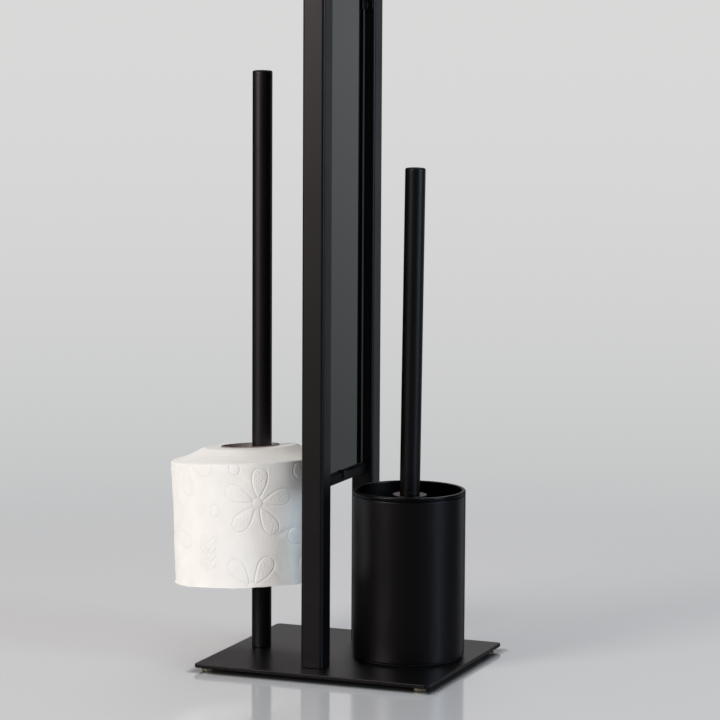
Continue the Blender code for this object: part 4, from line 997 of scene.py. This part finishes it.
def makeCup(s):
    low, high, middle = extent("cup_sleeve")
    place, steps = (middle.x, middle.y, 0.0), s["steps"]
    outer, wall = (high.x - low.x) / 2, s["sleeveWall"]
    inner = outer - wall
    corners = [(0.0, low.z + wall), (inner, low.z + wall), (inner, high.z), (outer, high.z),
               (outer, low.z), (0.0, low.z)]
    profile = roundCorners(corners, s["sleeveRounds"], closed=False)
    addPiece("cupSleeve", turnedGrid(profile, steps), place, sleeveCoat, "cup", "black_steel", "cup_sleeve")

    low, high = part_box("cup_ring")
    wide = (high.x - low.x) / 2
    bore = wide - s["ringWidth"]
    corners = [(bore, low.z), (wide, low.z), (wide, high.z), (bore, high.z)]
    grid = turnedGrid(roundCorners(corners, s["ringRound"], steps=4), steps, loop=True)
    addPiece("cupRing", grid, place, finishes["blackRubber"], "cup", "rubber", "cup_ring")

    low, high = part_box("cup_liner")
    body, wall, lip = inner - s["sideGap"], s["linerWall"], high.z - s["lipHeight"]
    bore = body - wall
    corners = [(0.0, low.z + wall), (bore, low.z + wall), (bore, high.z), (outer, high.z), (outer, lip),
               (body, lip), (body, low.z), (0.0, low.z)]
    grid = turnedGrid(roundCorners(corners, s["linerRounds"], closed=False, steps=10), steps)
    addPiece("cupLiner", grid, place, finishes["linerPlastic"], "liner", "black_plastic", "cup_liner")


# Brush, drawn upright from the liner's floor, then leant and turned as a whole
brushSettings = dict(
    offset=-0.00085, floor=0.0123, lean=0.61, turn=21.5, collarTop=0.1262, collarRadius=0.0138,
    collarThickness=0.0014, collarRounds=(0.0001, 0.0004, 0.0004, 0.0001), handleRadius=0.00815,
    handleLength=0.2625, seat=0.0003, grubHeight=0.0031, grubRadius=0.002, holeSlack=0.0002,
    hole=(0.004, -0.004), holeRows=(0.0036, -0.0032, 18),  # rows that frame the grub screw's hole
    spigot=0.00635, spigotLength=0.024, neckRadius=0.0085, neckLength=0.002, waistRadius=0.0065,
    waistShare=0.45, waistFoot=0.004, capRadius=0.014, capFlat=0.8, capDrop=0.0008, capTop=0.0775,
    capThickness=0.0025, stemRadius=0.012, domeCentre=0.03, bristleRadius=0.0348,
    headRounds=(0, 0.001, 0.0003, 0.0005, 0.002, 0.02, 0.004, 0.001, 0.0008, 0.0003, 0.0003, 0),
)


def brushMatrix(s):
    cup = extent("cup_sleeve")[2]
    return (Matrix.Translation((cup.x + s["offset"], cup.y, s["floor"]))
            @ Matrix.Rotation(math.radians(s["lean"]), 4, 'Y')
            @ Matrix.Rotation(math.radians(s["turn"]), 4, 'Z'))


def makeHandle(s, matrix):
    radius, bottom = s["handleRadius"], s["collarTop"] + s["seat"]
    near = s["grubHeight"] + np.linspace(*s["holeRows"])
    points, faces = tubeGrid(radius, s["handleLength"], tubeSettings, near)
    piece = newPiece("brushHandleTube", (moved(points, (0.0, 0.0, bottom)), faces), matrix, handleCoat)
    quarter = Matrix.Rotation(math.pi / 2, 4, 'X')
    turn = Matrix.Translation((0.0, -radius, bottom + s["grubHeight"])) @ quarter
    carve(piece, [holeCutter(s["grubRadius"] + s["holeSlack"], s["hole"], 40, matrix @ turn)])
    finishPiece(piece, "brush", "black_steel", "brush_handle")
    grid = grubGrid(s["grubRadius"], radius - s["spigot"] / 2 - s["seat"])
    turn = Matrix.Translation((0.0, -radius + s["seat"] * 3, bottom + s["grubHeight"])) @ quarter
    addPiece("brushGrub", grid, matrix @ turn, finishes["blackenedSteel"], "brush", "screw_steel",
             "brush_grub_screw")


def makeCollarAndHead(s, matrix):
    top, bottom = s["collarTop"], s["collarTop"] - s["collarThickness"]
    bore, rim = s["spigot"] + s["seat"], s["collarRadius"]
    corners = [(bore, top), (rim, top), (rim, bottom), (bore, bottom)]
    profile = roundCorners(corners, s["collarRounds"], steps=6)
    addPiece("brushCollar", turnedGrid(profile, 96, loop=True), matrix, powderCoat, "brush", "black_steel",
             "brush_collar")

    shoulder = bottom - s["seat"]
    cap, rim, spigot, neck, slim = s["capTop"], s["capRadius"], s["spigot"], s["neckRadius"], s["waistRadius"]
    under, tip = cap - s["capThickness"], top + s["spigotLength"]
    stem, dome = s["stemRadius"] - s["seat"], s["domeCentre"]
    corners = [(0.0, tip), (spigot, tip), (spigot, shoulder), (neck, shoulder),
               (neck, shoulder - s["neckLength"]), (slim, cap + s["waistShare"] * (shoulder - cap)),
               (slim, cap + s["waistFoot"]), (rim * s["capFlat"], cap), (rim, cap - s["capDrop"]),
               (rim, under), (stem, under), (stem, dome)]
    angle = np.linspace(0.0, math.pi / 2, 12)[1:]
    ball = np.column_stack([stem * np.cos(angle), dome - stem * np.sin(angle)])
    ball[-1, 0] = 0.0
    profile = roundCorners(corners, s["headRounds"], closed=False, steps=6)
    grid = turnedGrid(np.concatenate([profile, ball]), 72)
    addPiece("brushHeadMoulding", grid, matrix, finishes["headPlastic"], "brush", "black_plastic",
             "brush_head")


bristleSettings = dict(
    rows=13, around=22,
    domeRows=((74.0, 19), (58.0, 16), (42.0, 12), (26.0, 8), (10.0, 4)),  # angle and count
    perTuft=9, tuftRadius=0.001, rootDepth=0.001, splay=0.0026, thickness=0.00017, droop=0.001,
    uneven=0.0016, segments=3, narrowed=0.35, seed=5,
    rowEnds=(0.001, 0.003), tipSlack=0.0008,  # room left by the first and last row and under the tips
    clear=(0.0009, 0.0006),  # room left over the liner's floor and under the cap
    side=(0.3, 0.2, 1.0),  # a direction that no strand has
)


def unit(vectors):
    return vectors / np.linalg.norm(vectors, axis=1)[:, None]


def makeBristles(s, b, matrix):
    # tufts stand on the stem in staggered rows; strand point = root + share * reach * direction
    # + droop * share squared, and each has a three-sided section that narrows to its tip
    draw = np.random.default_rng(b["seed"])
    roots, directions = [], []
    under, start = s["capTop"] - s["capThickness"], s["stemRadius"] - b["rootDepth"]
    first, last = b["rowEnds"]
    levels = np.linspace(s["domeCentre"] + first, under - last, b["rows"])
    rows = [(90.0, b["around"], 0.5 * (index % 2), level) for index, level in enumerate(levels)]
    rows += [(polar, count, 0.3, s["domeCentre"]) for polar, count in b["domeRows"]]
    for polar, count, shift, level in rows:
        angle = (np.arange(count) + shift) * math.tau / count
        side, down = math.sin(math.radians(polar)), math.cos(math.radians(polar))
        flat = np.stack([side * np.cos(angle), side * np.sin(angle), np.full(count, -down)], 1)
        roots.append(flat * start + np.array([0.0, 0.0, level]))
        directions.append(flat)
    root = np.repeat(np.concatenate(roots), b["perTuft"], 0)
    direction = np.repeat(np.concatenate(directions), b["perTuft"], 0)
    count = len(root)
    root = root + draw.normal(0.0, b["tuftRadius"] / 2, (count, 3))
    sink = np.clip(-direction[:, 2], 0.0, 1.0)
    envelope = s["bristleRadius"] + (s["domeCentre"] - b["tipSlack"] - s["bristleRadius"]) * sink
    reach = envelope - start - b["uneven"] * draw.random(count) * (1 - 0.5 * sink)
    aim = direction * reach[:, None] + draw.normal(0.0, b["splay"] / 2, (count, 3))
    aim = unit(aim) * reach[:, None]
    share = np.linspace(0.0, 1.0, b["segments"] + 1)[None, :, None]
    line = root[:, None] + aim[:, None] * share
    line = line + np.array([0.0, 0.0, -b["droop"]]) * share ** 2 * (1 - sink)[:, None, None]
    line[..., 2] = np.clip(line[..., 2], b["clear"][0], under - b["clear"][1])
    across = unit(np.cross(aim, b["side"]))
    upward = unit(np.cross(across, aim))
    corner = (np.arange(3) * math.tau / 3)[None, None, :, None]
    ring = across[:, None, None] * np.cos(corner) + upward[:, None, None] * np.sin(corner)
    taper = (b["thickness"] * (1 - b["narrowed"] * share ** 2))[..., None]
    points = line[:, :, None, :] + ring * taper
    rows = b["segments"] + 1
    base = (np.arange(count) * rows * 3)[:, None]
    faces = (np.array(gridFaces(rows, 3))[None] + base[:, None]).reshape(-1, 4).tolist()
    ends = np.concatenate([base + np.array([2, 1, 0]), base + (rows - 1) * 3 + np.arange(3)]).tolist()
    addPiece("bristleTufts", (points.reshape(-1, 3), faces + ends), matrix, finishes["blackNylon"],
             "brush", "bristle", "brush_bristles", weighted=False)
    print("bristles:", count)


makeCup(cupSettings)
brushPlace = brushMatrix(brushSettings)
makeHandle(brushSettings, brushPlace)
makeCollarAndHead(brushSettings, brushPlace)
makeBristles(brushSettings, bristleSettings, brushPlace)
print("cup and brush made")


# What stays of the CAD solids: the plugs inside the tubes
for node in ("front_post_plug", "back_post_plug", "spare_rod_plug", "roll_arm_plug"):
    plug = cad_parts[node]
    plug.data.materials.clear()
    plug.data.materials.append(finishes["blackenedSteel"])


# Studio: a pale floor that fades into the background, a warm softbox, a cool one and a dim room
stageSettings = dict(
    radius=1.6, floorColour=(0.585, 0.585, 0.59), gloss=0.34, glossStrength=2.3, glossRoughness=0.09,
    fade=(0.34, 0.95),  # distances from its centre where it begins to fade and is gone
    hidden=0.88,  # how much of it the glossy pieces don't mirror
    shade=0.92,  # how dark the floor is right beside the plate
    shadeReach=0.0075,  # and how far that goes
    centre=(0.03, 0.05),
)


def makeFloor(s):
    x, y = s["centre"]
    material = bpy.data.materials.new("paleFloor")
    material.use_nodes = True
    tree = material.node_tree
    tree.nodes.clear()
    coat = addNode(tree, 'BsdfGlossy', {"Color": [s["glossStrength"]] * 3, "Roughness": s["glossRoughness"]})
    # contact shade: the floor is darkest at the plate's outline and lighter with the distance from it
    low, high, middle = extent("base_plate")
    sides = splitAxes(objectPoints(tree, move=-middle))
    out = []
    for axis in (0, 1):
        past = compute('SUBTRACT', compute('ABSOLUTE', sides[axis]), (high[axis] - low[axis]) / 2)
        past = compute('MAXIMUM', past, 0.0)
        out.append(multiply(past, past))
    apart = compute('SQRT', compute('ADD', *out))
    lit = spread(apart, (0.0, s["shadeReach"]), (1.0 - s["shade"], 1.0))
    tone = blendColours(lit, (0.0, 0.0, 0.0), s["floorColour"])
    plain = addNode(tree, 'BsdfDiffuse', {"Color": tone})
    surface = addNode(tree, 'MixShader', {0: s["gloss"], 1: plain, 2: coat})
    clear = addNode(tree, 'BsdfTransparent')
    here = objectPoints(tree, move=(-x, -y, 0.0))
    away = addNode(tree, 'VectorMath', {0: here}, "Value", operation='LENGTH')
    gloss = addNode(tree, 'LightPath', out="Is Glossy Ray")
    fade = compute('MAXIMUM', spread(away, s["fade"], smooth=True),
                   multiply(gloss, s["hidden"]))
    feed(tree.nodes.new('ShaderNodeOutputMaterial'), {0: mixShaders(fade, surface, clear)})
    rings = np.linspace(0.0, s["radius"], 24)
    grid = turnedGrid(np.column_stack([rings, 0 * rings]), 96)
    floor = newPiece("studioFloor", grid, (x, y, 0.0), material)
    if sum(polygon.normal.z for polygon in floor.data.polygons[:4]) < 0:
        floor.data.flip_normals()


# The world: a backdrop for the camera, a plain light, and for the gloss a dim room with a bright
# window and a patch of ceiling. Headings are directions, with cosines of the angle to them as ends;
# the other ends are the z of a direction
worldSettings = dict(
    high=(0.694, 0.694, 0.69), low=(0.478, 0.488, 0.498), heights=(-0.2, 0.0), curve=2.35,
    ambient=(0.5, 0.51, 0.52), window=(0.39, 0.92, 0.0), windowEnds=(0.945, 0.99),
    windowLow=(0.31, 0.335, 0.35), windowHigh=(0.56, 0.585, 0.6), windowHeights=(-0.15, -0.03),
    windowTop=(0.0, 0.07), room=(0.016, 0.016, 0.017), ceiling=(0.25, 0.24, 0.238),
    ceilingAim=(-0.37, 0.92, 0.0), ceilingEnds=(0.72, 0.93), ceilingHeights=(0.02, 0.15),
)


def makeWorld(s):
    # the camera sees high - (high - low) * (1 - share of the height) ^ curve
    world = bpy.data.worlds.new("studio")
    bpy.context.scene.world = world
    world.use_nodes = True
    tree = world.node_tree
    tree.nodes.clear()
    direction = addNode(tree, 'TexCoord', out="Generated")
    height = splitAxes(direction)[2]

    def near(aim, ends):
        heading = addNode(tree, 'VectorMath', {0: direction, 1: aim}, "Value", operation='DOT_PRODUCT')
        return spread(heading, ends, smooth=True)

    def light(colour):
        return addNode(tree, 'Background', {"Color": colour})

    depth = compute('POWER', spread(height, s["heights"], (1.0, 0.0)), s["curve"])
    backdrop = light(blendColours(depth, s["high"], s["low"]))
    gate = multiply(near(s["window"], s["windowEnds"]),
                    spread(height, s["windowTop"], (1.0, 0.0), True))
    window = blendColours(spread(height, s["windowHeights"]), s["windowLow"], s["windowHigh"])
    above = multiply(near(s["ceilingAim"], s["ceilingEnds"]),
                     spread(height, s["ceilingHeights"], smooth=True))
    room = blendColours(above, s["room"], s["ceiling"])
    mirrored = light(blendColours(gate, room, window))
    path = addNode(tree, 'LightPath').node.outputs
    seen = compute('MAXIMUM', path["Is Camera Ray"], path["Is Transmission Ray"])
    mixed = mixShaders(seen, light(s["ambient"]), backdrop)
    mixed = mixShaders(path["Is Glossy Ray"], mixed, mirrored)
    feed(tree.nodes.new('ShaderNodeOutputWorld'), {0: mixed})


lampSettings = {
    # place, aim, width, height, power and colour
    "warmSoftbox": ((-1.00, -1.66, 1.15), (0.0, 0.0, 0.3), 0.8, 1.2, 29.5, (1.0, 0.93, 0.885)),
    "coolSoftbox": ((1.8, -0.18, 0.85), (0.0, 0.0, 0.25), 0.5, 1.2, 15.0, (0.62, 0.82, 1.0)),
    "backSoftbox": ((-0.55, 1.7, 1.6), (0.0, 0.0, 0.35), 1.3, 0.9, 10.5, (0.98, 0.98, 1.0)),
}


def makeLamps(lamps):
    for name, (place, aim, width, height, power, colour) in lamps.items():
        data = bpy.data.lights.new(name, 'AREA')
        data.shape = 'RECTANGLE'
        data.size, data.size_y = width, height
        data.energy = power
        data.color = colour
        lamp = bpy.data.objects.new(name, data)
        bpy.context.scene.collection.objects.link(lamp)
        lamp.location = place
        lamp.rotation_euler = (Vector(place) - Vector(aim)).to_track_quat('Z', 'Y').to_euler()
        lamp.visible_camera = False


makeFloor(stageSettings)
makeWorld(worldSettings)
makeLamps(lampSettings)
bpy.context.scene.view_settings.view_transform = 'Standard'
print("studio made")

# Bring the scene up to date
bpy.context.view_layer.update()
